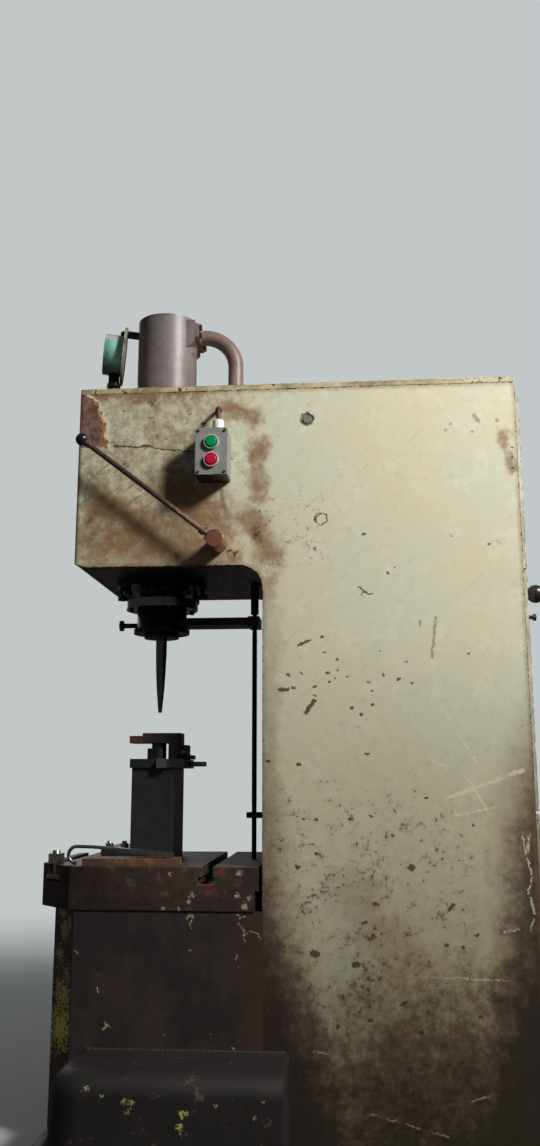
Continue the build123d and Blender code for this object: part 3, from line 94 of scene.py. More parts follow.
class Shade:
    """One socket of a tree. Python's operators on it add the Math nodes that they stand for."""

    def __init__(self, nodes, socket):
        self.nodes = nodes
        self.socket = socket

    def maths(self, operation, *values):
        return self.nodes.node("ShaderNodeMath", {"operation": operation}, dict(enumerate(values)))

    def __add__(self, other):
        return self.maths("ADD", self, other)

    def __sub__(self, other):
        return self.maths("SUBTRACT", self, other)

    def __rsub__(self, other):
        return self.maths("SUBTRACT", other, self)

    def __mul__(self, other):
        return self.maths("MULTIPLY", self, other)

    def __truediv__(self, other):
        return self.maths("DIVIDE", self, other)

    def __rtruediv__(self, other):
        return self.maths("DIVIDE", other, self)

    def __pow__(self, other):
        return self.maths("POWER", self, other)

    def __rpow__(self, other):
        return self.maths("POWER", other, self)

    def __abs__(self):
        return self.maths("ABSOLUTE", self)

    def least(self, other):
        return self.maths("MINIMUM", self, other)

    def most(self, other):
        return self.maths("MAXIMUM", self, other)

    def clamped(self):
        return self.most(0).least(1)

    def band(self, start, end):
        """Goes smoothly from 0 at start to 1 at end."""
        ends = {0: self, 1: start, 2: end, 3: 0, 4: 1}
        return self.nodes.node("ShaderNodeMapRange", {"interpolation_type": "SMOOTHSTEP"}, ends)

    __radd__ = __add__
    __rmul__ = __mul__


class Nodes:
    """A tree of nodes: the studio's air, a surface finish, or a recipe for rows of small shapes."""

    def __init__(self, tree):
        self.tree = tree

    def node(self, kind, settings=None, sockets=None, out=0):
        """Adds one node: its settings first, then what goes into its sockets."""
        made = self.tree.nodes.new(kind)
        for setting, value in (settings or {}).items():
            if setting == "stops":
                stops = made.color_ramp.elements
                for place, _ in value[2:]:
                    stops.new(place)
                for stop, (place, tone) in zip(stops, value):
                    stop.position = place
                    stop.color = (*tone, 1)
            else:
                setattr(made, setting, value)
        for socket, value in (sockets or {}).items():
            if isinstance(value, Shade):
                self.tree.links.new(value.socket, made.inputs[socket])
            elif isinstance(value, tuple) and len(made.inputs[socket].default_value) == 4:
                made.inputs[socket].default_value = (*value, 1)
            else:
                made.inputs[socket].default_value = value
        return Shade(self, made.outputs[out]) if made.outputs else None

    def vector(self, operation, sockets, out=0):
        return self.node("ShaderNodeVectorMath", {"operation": operation}, sockets, out)


world = bpy.data.worlds.new("studio_air")
world.use_nodes = True
world.node_tree.nodes.clear()
bpy.context.scene.world = world
air = Nodes(world.node_tree)
air_seen = air.node("ShaderNodeBackground", sockets={"Color": (0.54, 0.575, 0.575)})
air_way = air.node("ShaderNodeTexCoord", out="Generated")
air_height = air.node("ShaderNodeSeparateXYZ", sockets={0: air_way}, out="Z")
air_stops = ((0.0, (0.05, 0.046, 0.043)), (0.45, (0.06, 0.064, 0.07)))
air_tone = air.node("ShaderNodeValToRGB", {"stops": air_stops}, {0: air_height})
air_fill = air.node("ShaderNodeBackground", sockets={"Color": air_tone})
camera_ray = air.node("ShaderNodeLightPath", out="Is Camera Ray")
air_mix = air.node("ShaderNodeMixShader", sockets={0: camera_ray, 1: air_fill, 2: air_seen})
air.node("ShaderNodeOutputWorld", sockets={0: air_mix})


# The floor is a plain pale disc of screed that melts into the air around it, so that the press
# stands free and looks alike from every side. It isn't part of the press.
class Finish(Nodes):
    """A surface finish: one material, with the nodes that vary it over the piece."""

    varied = {
        "colour": "Base Color", "rough": "Roughness", "metal": "Metallic", "alpha": "Alpha",
        "normal": "Normal",
    }

    def __init__(self, name, colour, roughness, metallic=0.0):
        self.material = bpy.data.materials.new(name)
        self.material.use_nodes = True
        super().__init__(self.material.node_tree)
        self.shader = self.tree.nodes["Principled BSDF"]
        self.shader.inputs["Base Color"].default_value = (*colour, 1)
        self.shader.inputs["Roughness"].default_value = roughness
        self.shader.inputs["Metallic"].default_value = metallic
        self.place = self.node("ShaderNodeTexCoord", out="Object")

    def axes(self, vector=None):
        """X, Y and Z of a vector, by default of the place on the press."""
        parts = self.node("ShaderNodeSeparateXYZ", sockets={0: vector or self.place})
        return tuple(Shade(self, s) for s in parts.socket.node.outputs)

    def mix(self, base, other, share):
        """One colour laid over another, by a share from 0 to 1."""
        sockets = {0: share, 6: base, 7: other}
        return self.node("ShaderNodeMix", {"data_type": "RGBA"}, sockets, out=2)

    def noise(self, scale, detail=3.0, rough=0.55, at=None, out=0):
        sockets = {
            "Vector": at or self.place, "Scale": scale, "Detail": detail, "Roughness": rough,
        }
        return self.node("ShaderNodeTexNoise", sockets=sockets, out=out)

    def bump(self, height, strength, distance):
        sockets = {"Height": height, "Strength": strength, "Distance": distance}
        return self.node("ShaderNodeBump", sockets=sockets)

    def wear(self, **varying):
        """Leads what varies over the surface to the shader."""
        for name, value in varying.items():
            self.tree.links.new(value.socket, self.shader.inputs[self.varied[name]])
        return self.material


def card(red, green, blue):
    """A colour as read off a colour card, 0 to 255, turned into light."""
    return tuple(
        ((v / 255 + 0.055) / 1.055) ** 2.4 if v > 10 else v / 255 / 12.92
        for v in (red, green, blue)
    )


floor_radius, fade_start, fade_end = 7.0, 1.3, 3.6
floor_mesh = bpy.data.meshes.new("floor")
floor_shape = bmesh.new()
bmesh.ops.create_circle(floor_shape, cap_ends=True, segments=96, radius=floor_radius)
floor_shape.to_mesh(floor_mesh)
floor_shape.free()
floor = bpy.data.objects.new("floor", floor_mesh)
bpy.context.scene.collection.objects.link(floor)
screed = Finish("screed", card(190, 192, 190), 0.8)
floor_x, floor_y, _ = screed.axes()
floor_reach = (floor_x * floor_x + floor_y * floor_y) ** 0.5
floor_cloud = screed.noise(1.4, 6, 0.6)
screed.wear(
    colour=screed.mix(card(189, 191, 190), card(197, 198, 196), floor_cloud.band(0.35, 0.65)),
    rough=floor_cloud.band(0.2, 0.8) * 0.2 + 0.65,
)
screed_only = Shade(screed, screed.shader.outputs[0])
screed_clear = screed.node("ShaderNodeBsdfTransparent")
screed_layers = {0: floor_reach.band(fade_start, fade_end), 1: screed_only, 2: screed_clear}
screed_fade = screed.node("ShaderNodeMixShader", sockets=screed_layers)
screed.tree.links.new(screed_fade.socket, screed.tree.nodes["Material Output"].inputs[0])
floor_mesh.materials.append(screed.material)
floor.visible_diffuse = False
floor.visible_glossy = False

# The side plates are two flame-cut plates of 20 mm steel, C-shaped round the throat, and welded to
# all the plates between them. They are painted cream over putty; the paint is chipped, scratched
# and stained with oil, and grime has crept up it from the floor.
same_point, same_plane, crease = 2e-5, radians(0.5), radians(30)


def dress(node, finish, edge=None, chamfer=0.0):
    """A merged copy of a solid, which stands in for it. Its corners are broken by a chamfer, in
    metres, and may have a finish of their own."""
    shape = bmesh.new()
    shape.from_mesh(frame["nodes"][node].data)
    bmesh.ops.remove_doubles(shape, verts=shape.verts, dist=same_point)
    bmesh.ops.dissolve_limit(
        shape, angle_limit=same_plane, verts=shape.verts, edges=shape.edges,
    )
    for face in shape.faces:
        face.smooth = True
        face.material_index = 0
    if chamfer:
        corners = [
            e for e in shape.edges if len(e.link_faces) == 2 and e.calc_face_angle(0) > crease
        ]
        bmesh.ops.bevel(
            shape, geom=corners, offset=chamfer, offset_type="OFFSET", segments=1, profile=0.5,
            affect="EDGES", clamp_overlap=True, material=1 if edge else -1,
        )
    mesh = bpy.data.meshes.new(f"{node}_worn")
    shape.to_mesh(mesh)
    shape.free()
    mesh.set_sharp_from_angle(angle=crease)
    mesh.materials.append(finish)
    if edge:
        mesh.materials.append(edge)
    piece = bpy.data.objects.new(f"{node}_worn", mesh)
    bpy.context.scene.collection.objects.link(piece)
    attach(piece, frame["nodes"][node]["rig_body"])
    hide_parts(node)
    return piece


def shaken(finish, scale, amount):
    """Places pushed about by a noise, which gives what is drawn there a ragged outline."""
    push = finish.noise(scale, 3, 0.6, out="Color")
    middle = finish.vector("SUBTRACT", {0: push, 1: (0.5, 0.5, 0.5)})
    return finish.vector("MULTIPLY_ADD", {0: middle, 1: (amount,) * 3, 2: finish.place})


def nearest(finish, at, marks, y, squat=1.0):
    """How far a place is off the nearest mark on the plate's face at y: 1 on a mark's outline. A
    dot is x, z and its radius in mm, and a stroke x and z of both ends and half its width. Squat
    marks are less high than they are long."""
    if squat != 1:
        at = finish.vector("MULTIPLY", {0: at, 1: (1, 1, squat)})
    least = None
    for *ends, half in marks:
        start = Vector((ends[0], 1000 * y, ends[1] * squat)) / 1000
        if len(ends) == 2:
            far = finish.vector("DISTANCE", {0: at, 1: start}, "Value")
        else:
            run = Vector((ends[2] - ends[0], 0, (ends[3] - ends[1]) * squat)) / 1000
            local = finish.vector("SUBTRACT", {0: at, 1: start})
            shares = {0: local, 1: run / run.length_squared}
            along = finish.vector("DOT_PRODUCT", shares, "Value").clamped()
            foot = finish.vector("SCALE", {0: run, "Scale": along})
            far = finish.vector("DISTANCE", {0: local, 1: foot}, "Value")
        off = far * (1000 / half)
        least = least.least(off) if least else off
    return least


near_chips = (
    (-70, 1384, -23, 1381, 3.6), (-23, 1381, 2, 1383, 3.2), (2, 1383, 21, 1377, 2.8),
    (21, 1377, 42, 1373, 2.6), (42, 1373, 85, 1369, 2.6), (85, 1369, 100, 1367, 2),
    (-3, 1447, 26, 1443, 1.4), (4, 1470, 16, 1488, 1.2), (174, 1147, 184, 1150, 3),
    (184, 1150, 190, 1140, 2.6), (190, 1140, 197, 1148, 2), (91, 1452, 3), (-54, 1462, 3),
    (58, 1320, 2.5), (-47, 1345, 2.5), (184, 1348, 1.5), (191, 1353, 1.5), (187, 1355, 1.2),
    (234, 1182, 5), (229, 1176, 3), (240, 1188, 3), (120, 1430, 5), (458, 1180, 4),
    (711, 1153, 3), (638, 1172, 2.5), (520, 1109, 3), (506, 1097, 3),
    (446, 1069, 464, 1054, 2.5), (464, 1054, 474, 1055, 2.5), (455, 1062, 451, 1052, 2),
    (321, 951, 345, 960, 3.5), (370, 967, 4), (374, 934, 3), (400, 920, 3.5), (300, 891, 4),
    (327, 894, 3.5), (381, 894, 3.5), (400, 900, 3), (420, 886, 3), (394, 882, 3), (383, 875, 3),
    (353, 866, 4), (354, 849, 3), (285, 860, 297, 861, 6), (311, 864, 5),
    (353, 838, 344, 828, 4), (344, 828, 335, 814, 4.5), (428, 823, 4), (446, 810, 4),
    (470, 829, 4), (469, 857, 3), (461, 874, 3), (522, 880, 4), (547, 873, 3), (537, 915, 3),
    (492, 888, 3), (486, 937, 3), (662, 930, 3), (458, 733, 4), (321, 713, 4.5), (260, 719, 5),
    (421, 607, 4), (354, 606, 5), (461, 613, 4), (659, 597, 4), (569, 647, 4), (355, 541, 5),
    (318, 516, 6), (538, 516, 8), (608, 440, 616, 450, 4), (657, 394, 4), (631, 372, 4),
    (600, 375, 4), (349, 356, 9), (467, 449, 5), (446, 415, 5), (428, 338, 9),
    (510, 266, 522, 274, 4), (454, 238, 5), (548, 218, 5), (392, 226, 5), (658, 249, 4),
    (543, 154, 5), (388, 118, 404, 118, 5), (471, 123, 5), (767, 1360, 3), (768, 1337, 3),
    (766, 1314, 3),
)
near_smears = (
    (599, 1002, 589, 924, 3), (567, 998, 568, 988, 3), (693, 1430, 700, 1418, 5), (687, 1395, 4),
    (739, 1419, 5), (632, 1400, 4), (642, 1414, 4), (149, 1455, 153, 1428, 6), (-117, 1222, 9),
    (230, 1190, 240, 1172, 12), (100, 1367, 118, 1362, 4), (160, 1280, 168, 1240, 5),
)
near_scratches = (
    (606, 826, 672, 710, 2.2), (653, 684, 704, 592, 2.2), (757, 701, 612, 648, 4.5),
    (580, 722, 608, 707, 2), (726, 636, 622, 614, 2.2), (523, 318, 716, 313, 1.6),
    (344, 183, 375, 179, 1.8), (709, 400, 737, 406, 1.8), (445, 78, 591, 41, 2),
    (637, 102, 675, 113, 2), (-84, 1140, -66, 1156, 1.6), (-79, 1138, -60, 1155, 1.4),
    (752, 575, 756, 545, 2), (764, 585, 760, 548, 2.4), (758, 535, 765, 505, 2.2),
    (766, 500, 757, 472, 2), (760, 462, 768, 434, 2.6), (765, 428, 758, 404, 2.2),
)
near_stains = (
    (-90, 1170, 130, 1155, 80), (236, 1380, 242, 1270, 22), (225, 1215, 262, 1140, 40),
    (262, 1080, 265, 450, 24), (424, 474, 523, 334, 55), (750, 1390, 768, 1310, 13),
    (60, 1290, 150, 1190, 60), (160, 1470, 230, 1440, 24), (-120, 1500, 120, 1498, 14),
    (-90, 1250, 0, 1200, 60), (182, 1146, 190, 1142, 14),
)
near_rings = ((370, 1214, 12), (343, 1433, 13))
side_face = 0.21
plate_front, plate_rear, plate_top = -0.149, 0.779, 1.503
throat_x, throat_round, throat_arc_x, throat_arc_z = 0.248, 0.05, 0.198, 1.069
grime_top, chipped_from = 0.98, 0.45
crack_z, crack_height = 1.37, 0.14
lost_from, lost_span = -150, 100
lost_line = (
    (0.0, -88), (0.15, -83), (0.26, -91), (0.44, -88), (0.56, -98), (0.69, -104), (0.83, -112),
    (0.94, -133),
)


def old_cream(name, y, chips=(), smears=(), scratches=(), stains=(), rings=()):
    """Old cream paint over putty, with its marks, on a side plate whose face is at y."""
    paint = Finish(name, card(222, 217, 193), 0.45)
    x, _, z = paint.axes()
    cloud = paint.noise(4.2, 8, 0.66)
    blot = paint.noise(15, 9, 0.72)
    fine = paint.noise(105, 5, 0.68)
    coarse = paint.noise(48, 6, 0.7)
    ragged = shaken(paint, 140, 0.013)
    loose = shaken(paint, 20, 0.07)
    colour = paint.mix(card(216, 210, 180), card(210, 211, 187), cloud.band(0.42, 0.6))
    colour = paint.mix(colour, card(226, 223, 199), blot.band(0.5, 0.64) * 0.6)
    # Oil and handling have stained it brown, most of all on the head.
    head = x.band(0.34, 0.05) * z.band(1.08, 1.2)
    film = (blot * 0.5 + coarse * 0.5 + head * 0.12).band(0.48, 0.74) * (head * 0.6 + 0.2)
    colour = paint.mix(colour, card(128, 105, 68), film)
    # Rags and boxes have rubbed pale and dark lines into it, slantwise.
    slant = {"Vector": paint.place, "Angle": 0.7}
    rubbed = paint.node("ShaderNodeVectorRotate", {"rotation_type": "Y_AXIS"}, slant)
    rubbed = paint.vector("MULTIPLY", {0: rubbed, 1: (0.08, 1, 1)})
    rub = paint.noise(150, 4, 0.6, rubbed) * 0.7 + blot * 0.3
    colour = paint.mix(colour, card(222, 214, 184), rub.band(0.6, 0.68) * (head * 0.45 + 0.12))
    colour = paint.mix(colour, card(104, 80, 54), rub.band(0.42, 0.35) * (head * 0.5 + 0.1))
    if stains:
        near = nearest(paint, loose, stains, y).band(1.6, 0)
        stain = (near * 1.2 + (blot + coarse - 1) * 1.1).band(0, 1.4)
        colour = paint.mix(colour, card(136, 100, 62), stain * (z.band(1.0, 1.15) * 0.5 + 0.36))
    # Grime has crept up from the floor and in from the column's edges, brown, then nearly black.
    level = (grime_top - z).most(0)
    low = z.band(0.5, 0.03)
    front = (throat_x - x + level * 0.17 + (blot - 0.5) * 0.04) * 10
    rear = (x - plate_rear + (level * 0.3).least(0.11) + (blot - 0.5) * 0.06) * 9
    inward = (x - 0.34).most(0).least(0.16) * level * 1.6
    rise = level * 0.64 + inward + low * 0.48
    rise = rise + (blot - 0.5) * level * 0.8 + (coarse - 0.5) * level * 0.9
    sides = front.most(rear).clamped() * level.band(0.02, 0.3)
    soil = rise.most(0) + sides * 0.7
    brown = paint.mix(card(98, 76, 40), card(86, 58, 44), sides)
    colour = paint.mix(colour, brown, soil.least(1) * 0.88)
    black = (soil - 0.58 + (coarse - 0.5) * 0.25).band(0, 0.85)
    colour = paint.mix(colour, card(38, 27, 21), black * 0.94)
    # Specks where the paint has popped off: dense low on the column, sparse all over.
    dense = abs(x - 0.44).band(0.32, 0.1) * abs(z - 0.42).band(0.36, 0.14)
    throat = abs(x - 0.3).band(0.12, 0.04) * abs(z - 1.19).band(0.13, 0.05)
    thick = dense.most(throat * 0.8).most(head * 0.5) * (blot.band(0.38, 0.6) * 0.05 + 0.045)
    grain = fine * 0.6 + coarse * 0.25 + blot * 0.15 + thick
    colour = paint.mix(colour, card(96, 70, 44), grain.band(0.6, 0.67) * 0.6)
    chip = grain.band(0.662, 0.678)
    pits = fine * 0.16 + coarse * 0.25 + blot * 0.4 - chip * 0.8
    if chips:
        chip = chip.most(nearest(paint, ragged, chips, y, 1.5).band(1.3, 0.9))
    if rings:
        off = nearest(paint, ragged, rings, y)
        plug = off.band(1.0, 0.8) * x.band(0.36, 0.35)
        colour = paint.mix(colour, card(112, 104, 94), plug * 0.9)
        chip = chip.most(abs(off - 1).band(0.26, 0.12) * fine.band(0.36, 0.5))
    # Along the plate's outline it is dirty, and worn through on the very corner.
    beyond = {0: (x - throat_arc_x).most(0), 1: (z - throat_arc_z).most(0)}
    over = paint.node("ShaderNodeCombineXYZ", sockets=beyond)
    inner = paint.vector("LENGTH", {0: over}, "Value") - throat_round
    border = inner.most(chipped_from - z).least(plate_top - z)
    border = border.least(plate_rear - x).least(x - plate_front)
    edge = border + (paint.noise(95, 6, 0.72) - 0.5) * 0.016
    colour = paint.mix(colour, card(120, 92, 62), edge.band(0.012, 0.001) * 0.45)
    colour = paint.mix(colour, card(62, 46, 38), x.band(-0.142, -0.148) * 0.8)
    chip = chip.most(edge.band(0.0016, 0.0003))
    if smears:
        smear = nearest(paint, ragged, smears, y).band(1.4, 0.3)
        colour = paint.mix(colour, card(110, 80, 52), smear * 0.6)
    colour = paint.mix(colour, card(64, 47, 36), chip * 0.9)
    if scratches:
        scratch = nearest(paint, ragged, scratches, y).band(1.2, 0.6)
        scratch = scratch * (blot - 0.42).band(0, 0.14) * (0.6 - low * 0.3)
        colour = paint.mix(colour, card(226, 219, 186), scratch)
        # At the head's front edge the paint has come off down to rusty steel, from a crack up to
        # the top, as far back as the lost line: a share of that height, and a place in mm.
        stops = tuple((share, ((mm - lost_from) / lost_span,) * 3) for share, mm in lost_line)
        height = {"Fac": (z - crack_z) / crack_height}
        line = paint.node("ShaderNodeValToRGB", {"stops": stops}, height)
        ragged_x, _, ragged_z = paint.axes(ragged)
        past = line * (lost_span / 1000) + lost_from / 1000 - ragged_x
        below = (0.002 - abs(ragged_x + 0.147)).band(0, 0.002) * ragged_z.band(1.31, 1.34)
        lost = (past.band(-0.001, 0.001) * ragged_z.band(1.379, 1.384)).most(below)
        rust = paint.mix(card(132, 100, 86), card(88, 62, 54), coarse.band(0.42, 0.6))
        orange = past.band(0.022, 0.006) * fine.band(0.44, 0.58) * z.band(1.49, 1.44)
        rust = paint.mix(rust, card(176, 116, 62), orange * 0.85)
        rust = paint.mix(rust, card(70, 50, 44), ragged_x.band(-0.138, -0.146) * 0.8)
        putty = past.band(0.007, 0.001) * fine.band(0.42, 0.5)
        rust = paint.mix(rust, card(212, 196, 146), putty)
        lifted = past.band(-0.009, -0.002) * z.band(1.37, 1.39) * fine.band(0.4, 0.5)
        colour = paint.mix(colour, card(226, 214, 170), lifted)
        colour = paint.mix(colour, rust, lost)
        chip = chip.most(lost)
    return paint.wear(
        colour=colour,
        rough=blot * 0.3 + 0.28 + chip * 0.3 + soil.clamped() * 0.12,
        normal=paint.bump(pits, 0.5, 0.0013),
    )


# On the plates' broken corners the paint has gone in places, down to brown steel.
rim = Finish("cream_edge", card(214, 206, 178), 0.6)
_, _, rim_z = rim.axes()
rim_gone = (rim.noise(45, 5, 0.7) + (0.9 - rim_z).most(0) * 0.25).band(0.47, 0.52)
rim_grain = rim.noise(300, 3)
rim_tone = rim.mix(card(214, 206, 178), card(70, 50, 38), rim_gone)
cream_edge = rim.wear(
    colour=rim.mix(rim_tone, card(40, 32, 27), (0.75 - rim_z).band(0, 0.6) * 0.8),
    rough=rim_gone * 0.25 + 0.5,
    normal=rim.bump(rim_grain - rim_gone * 0.5, 0.4, 0.0006),
)
near_cream = old_cream(
    "near_cream", -side_face, near_chips, near_smears, near_scratches, near_stains, near_rings,
)
far_cream = old_cream("far_cream", side_face)
near_side = dress("near_side_plate", near_cream, cream_edge, 0.0008)
far_side = dress("far_side_plate", far_cream, cream_edge, 0.0008)

# Under the bed the side plates are the base's own sides, painted nearly black. Drips and splashes
# of old cream have dried on them.
near_drips = (
    (108, 428, 102, 418, 1.6), (108, 428, 114, 421, 1.4), (114, 421, 107, 408, 1.4),
    (107, 408, 110, 400, 1.2), (196, 430, 206, 420, 1.2), (206, 420, 203, 408, 1.2),
    (203, 408, 214, 398, 1.2), (214, 398, 212, 386, 1.2), (212, 386, 224, 396, 1),
    (224, 396, 240, 392, 1), (212, 386, 216, 374, 1), (240, 392, 246, 380, 1),
    (206, 420, 216, 424, 1), (-118, 355, -112, 352, 1.2), (-71, 290, -69, 280, 1.2),
    (105, 360, 110, 359, 1.2), (200, 352, 198, 344, 1), (203, 331, 1.2), (196, 322, 1),
    (208, 318, 1), (-55, 224, -46, 219, 2.4), (-58, 214, -52, 218, 2), (190, 186, 196, 184, 1.2),
    (60, 205, 64, 204, 1), (150, 208, 1.4),
)
far_drips = ((40, 300, 3), (120, 380, 112, 350, 2), (190, 240, 2))
base_rear, base_top = 0.25, 0.44


def base_side(name, y, drips):
    """The dark paint of the base's side, whose face is at y, with its drips."""
    paint = Finish(name, card(50, 41, 38), 0.5)
    x, _, z = paint.axes()
    cloud = paint.noise(7, 8, 0.7)
    flake = paint.noise(46, 7, 0.74)
    fine = paint.noise(230, 4, 0.65)
    drawn = paint.vector("MULTIPLY", {0: paint.place, 1: (1, 1, 0.12)})
    streak = paint.noise(30, 5, 0.65, drawn)
    clouded = (cloud * 0.75 + streak * 0.25).band(0.42, 0.62)
    colour = paint.mix(card(46, 39, 39), card(62, 50, 46), clouded)
    brown = (cloud * 0.4 + flake * 0.6).band(0.56, 0.66)
    colour = paint.mix(colour, card(80, 58, 46), brown * 0.5)
    colour = paint.mix(colour, card(66, 46, 36), x.band(0.17, 0.25) * 0.8)
    drip = nearest(paint, shaken(paint, 190, 0.011), drips, y).band(1.4, 0.6)
    drip = drip * fine.band(0.36, 0.5)
    speck = (fine * 0.6 + flake * 0.4).band(0.66, 0.675)
    colour = paint.mix(colour, card(176, 164, 128), drip.most(speck * 0.7))
    return paint.wear(
        colour=colour,
        rough=fine * 0.2 + cloud * 0.2 + 0.3,
        normal=paint.bump(flake * 0.5 + fine * 0.2 + drip * 0.5, 0.5, 0.0008),
    )


near_base = base_side("near_base", -side_face, near_drips)
far_base = base_side("far_base", side_face, far_drips)
for side, finish in ((near_side, near_base), (far_side, far_base)):
    shape = bmesh.new()
    shape.from_mesh(side.data)
    for place, across in (((base_rear, 0, 0), (1, 0, 0)), ((0, 0, base_top), (0, 0, 1))):
        parts = shape.verts[:] + shape.edges[:] + shape.faces[:]
        bmesh.ops.bisect_plane(shape, geom=parts, plane_co=place, plane_no=across)
    for face in shape.faces:
        middle = face.calc_center_median()
        if middle.x < base_rear and middle.z < base_top:
            face.material_index = 2
    shape.to_mesh(side.data)
    shape.free()
    side.data.materials.append(finish)


# The plates between the side plates close the head and the column: top, front, throat and the bars
# at the rear edge. They are welded in flush, painted with the sides, and dirty where oil ran.
def worn_paint(
    name, paint, under, dirt, bare=0.6, soil=0.5, scale=50, gloss=0.45, floor_grime=0.0,
    patches=(), metal=0.0, rust_and_shade_below=0.0,
):
    """Old paint, dirty in clouds, and gone in places down to what is under it. Patches are
    splashes: x, y, z and a radius in mm, a colour and a strength. Below a height it may be
    darker brown: rust, and painted shade on an underside."""
    coat = Finish(name, paint, gloss)
    cloud = coat.noise(scale * 0.14, 7, 0.66)
    flake = coat.noise(scale, 7, 0.72)
    fine = coat.noise(scale * 7, 3, 0.6)
    gone = (flake * 0.75 + cloud * 0.25).band(bare - 0.012, bare + 0.012)
    colour = coat.mix(paint, dirt, (cloud * 0.6 + flake * 0.4).band(0.62, 0.38) * soil)
    if floor_grime:
        _, _, z = coat.axes()
        soiled = (floor_grime - z + (cloud - 0.5) * 1.2).band(0, 0.7) * 0.85
        colour = coat.mix(colour, card(50, 40, 30), soiled)
    if rust_and_shade_below:
        # Below that height the colour turns brown-black: rust, and painted shade on an underside.
        _, _, z = coat.axes()
        rusty = (z + (flake - 0.5) * 0.004).band(rust_and_shade_below + 0.001, rust_and_shade_below)
        colour = coat.mix(colour, card(50, 33, 28), rusty)
    colour = coat.mix(colour, under, gone)
    if patches:
        loose = shaken(coat, scale * 2, 0.4 / scale)
        torn = (coat.noise(150, 5, 0.75) - 0.5) * 4
        for *spot, reach, tint, strength in patches:
            radius = reach / 1000
            ends = {0: loose, 1: tuple(v / 1000 for v in spot)}
            far = coat.vector("DISTANCE", ends, "Value")
            splash = (1 - far * (0.8 / radius) + torn).band(0.45, 0.65)
            splash = splash * far.band(radius * 1.7, radius)
            colour = coat.mix(colour, tint, splash * strength)
    return coat.wear(
        colour=colour,
        rough=fine * 0.16 + (gloss - 0.08) + gone * 0.2,
        metal=gone * metal,
        normal=coat.bump(fine * 0.25 + cloud * 0.5 - gone * 0.8, 0.5, 0.0006),
    )


BARE = card(72, 52, 40)
plate_cream = worn_paint(
    "plate_cream", card(220, 214, 188), BARE, card(150, 126, 90), bare=0.63, floor_grime=0.85,
)
top_cream = worn_paint(
    "top_cream", card(212, 200, 160), BARE, card(122, 98, 66), bare=0.6, soil=0.9, scale=40,
)
under_head = worn_paint(
    "under_head", card(62, 52, 48), card(112, 80, 62), card(34, 29, 27), bare=0.62, soil=0.8,
    gloss=0.4, scale=34,
)
throat_brown = Finish("throat_brown", card(80, 64, 58), 0.42)
throat_drawn = throat_brown.vector("MULTIPLY", {0: throat_brown.place, 1: (1, 0.1, 1)})
throat_streak = throat_brown.noise(90, 6, 0.7, throat_drawn)
throat_cloud = throat_brown.noise(9, 7, 0.7)
throat_dark = (throat_streak * 0.6 + throat_cloud * 0.4).band(0.42, 0.56)
throat_tone = throat_brown.mix(card(100, 80, 70), card(42, 34, 32), throat_dark)
throat_brown.wear(
    colour=throat_brown.mix(throat_tone, card(176, 146, 120), throat_streak.band(0.66, 0.72)),
    rough=throat_streak * 0.3 + 0.25,
    normal=throat_brown.bump(throat_streak, 0.5, 0.0008),
)
dress("top_plate", top_cream, cream_edge, 0.0008)
for plate in ("head_front_plate", "rear_bars"):
    dress(plate, plate_cream, cream_edge, 0.0008)
dress("throat_plate", throat_brown.material, throat_brown.material, 0.0008)
dress("head_bottom_plate", under_head, under_head, 0.0008)

# The base is a box of plate under the bed: a front folded round both corners, and a floor plate.
# Its paint is nearly black with oil and boot marks, with drips of later paint on it.
FLAKE = card(186, 178, 140)
base_black = worn_paint(
    "base_black", card(96, 78, 58), card(178, 160, 112), card(56, 45, 36), bare=0.585, soil=0.9,
    scale=42, floor_grime=0.1,
    patches=(
        (-152, -187, 212, 55, card(250, 244, 122), 1),
        (-148, -190, 270, 36, card(232, 224, 130), 0.95),
        (-140, -200, 310, 24, FLAKE, 0.9), (-160, -180, 345, 22, FLAKE, 0.9),
        (-150, -190, 392, 26, FLAKE, 0.9), (-158, -180, 425, 20, FLAKE, 0.9),
        (-170, 20, 330, 20, FLAKE, 0.8), (-175, 100, 200, 30, card(190, 180, 96), 0.8),
    ),
)
dress("base_front_plate", base_black, base_black, 0.0015)
dress("base_plate", base_black)

# The feet are two boxes of plate, folded round at the front and welded to the sides, with a lip
# that is bolted to the floor. Scuffed dark paint, splashed with old cream and yellow.
DULL_YELLOW = card(170, 160, 96)
foot_spots = (
    (-48, -372, 155, 6, FLAKE), (-17, -378, 143, 6, FLAKE), (20, -380, 137, 9, DULL_YELLOW),
    (36, -380, 132, 9, DULL_YELLOW), (30, -380, 120, 8, DULL_YELLOW), (69, -372, 162, 4, FLAKE),
    (126, -380, 116, 10, card(196, 190, 96)), (120, -380, 98, 9, card(200, 194, 96)),
    (124, -380, 84, 6, FLAKE), (183, -380, 134, 6, FLAKE), (191, -380, 122, 5, FLAKE),
    (210, -380, 142, 5, FLAKE), (268, -380, 140, 6, FLAKE), (250, -380, 114, 6, FLAKE),
)
foot_black = worn_paint(
    "foot_black", card(40, 35, 35), card(84, 64, 52), card(28, 24, 24), bare=0.62, soil=0.8,
    scale=38, gloss=0.52, patches=tuple((*spot, 0.85) for spot in foot_spots),
)
dress("feet", foot_black, foot_black, 0.0012)
weld_black = worn_paint(
    "weld_black", card(40, 34, 30), card(78, 54, 40), card(24, 20, 18), scale=90, gloss=0.72,
)


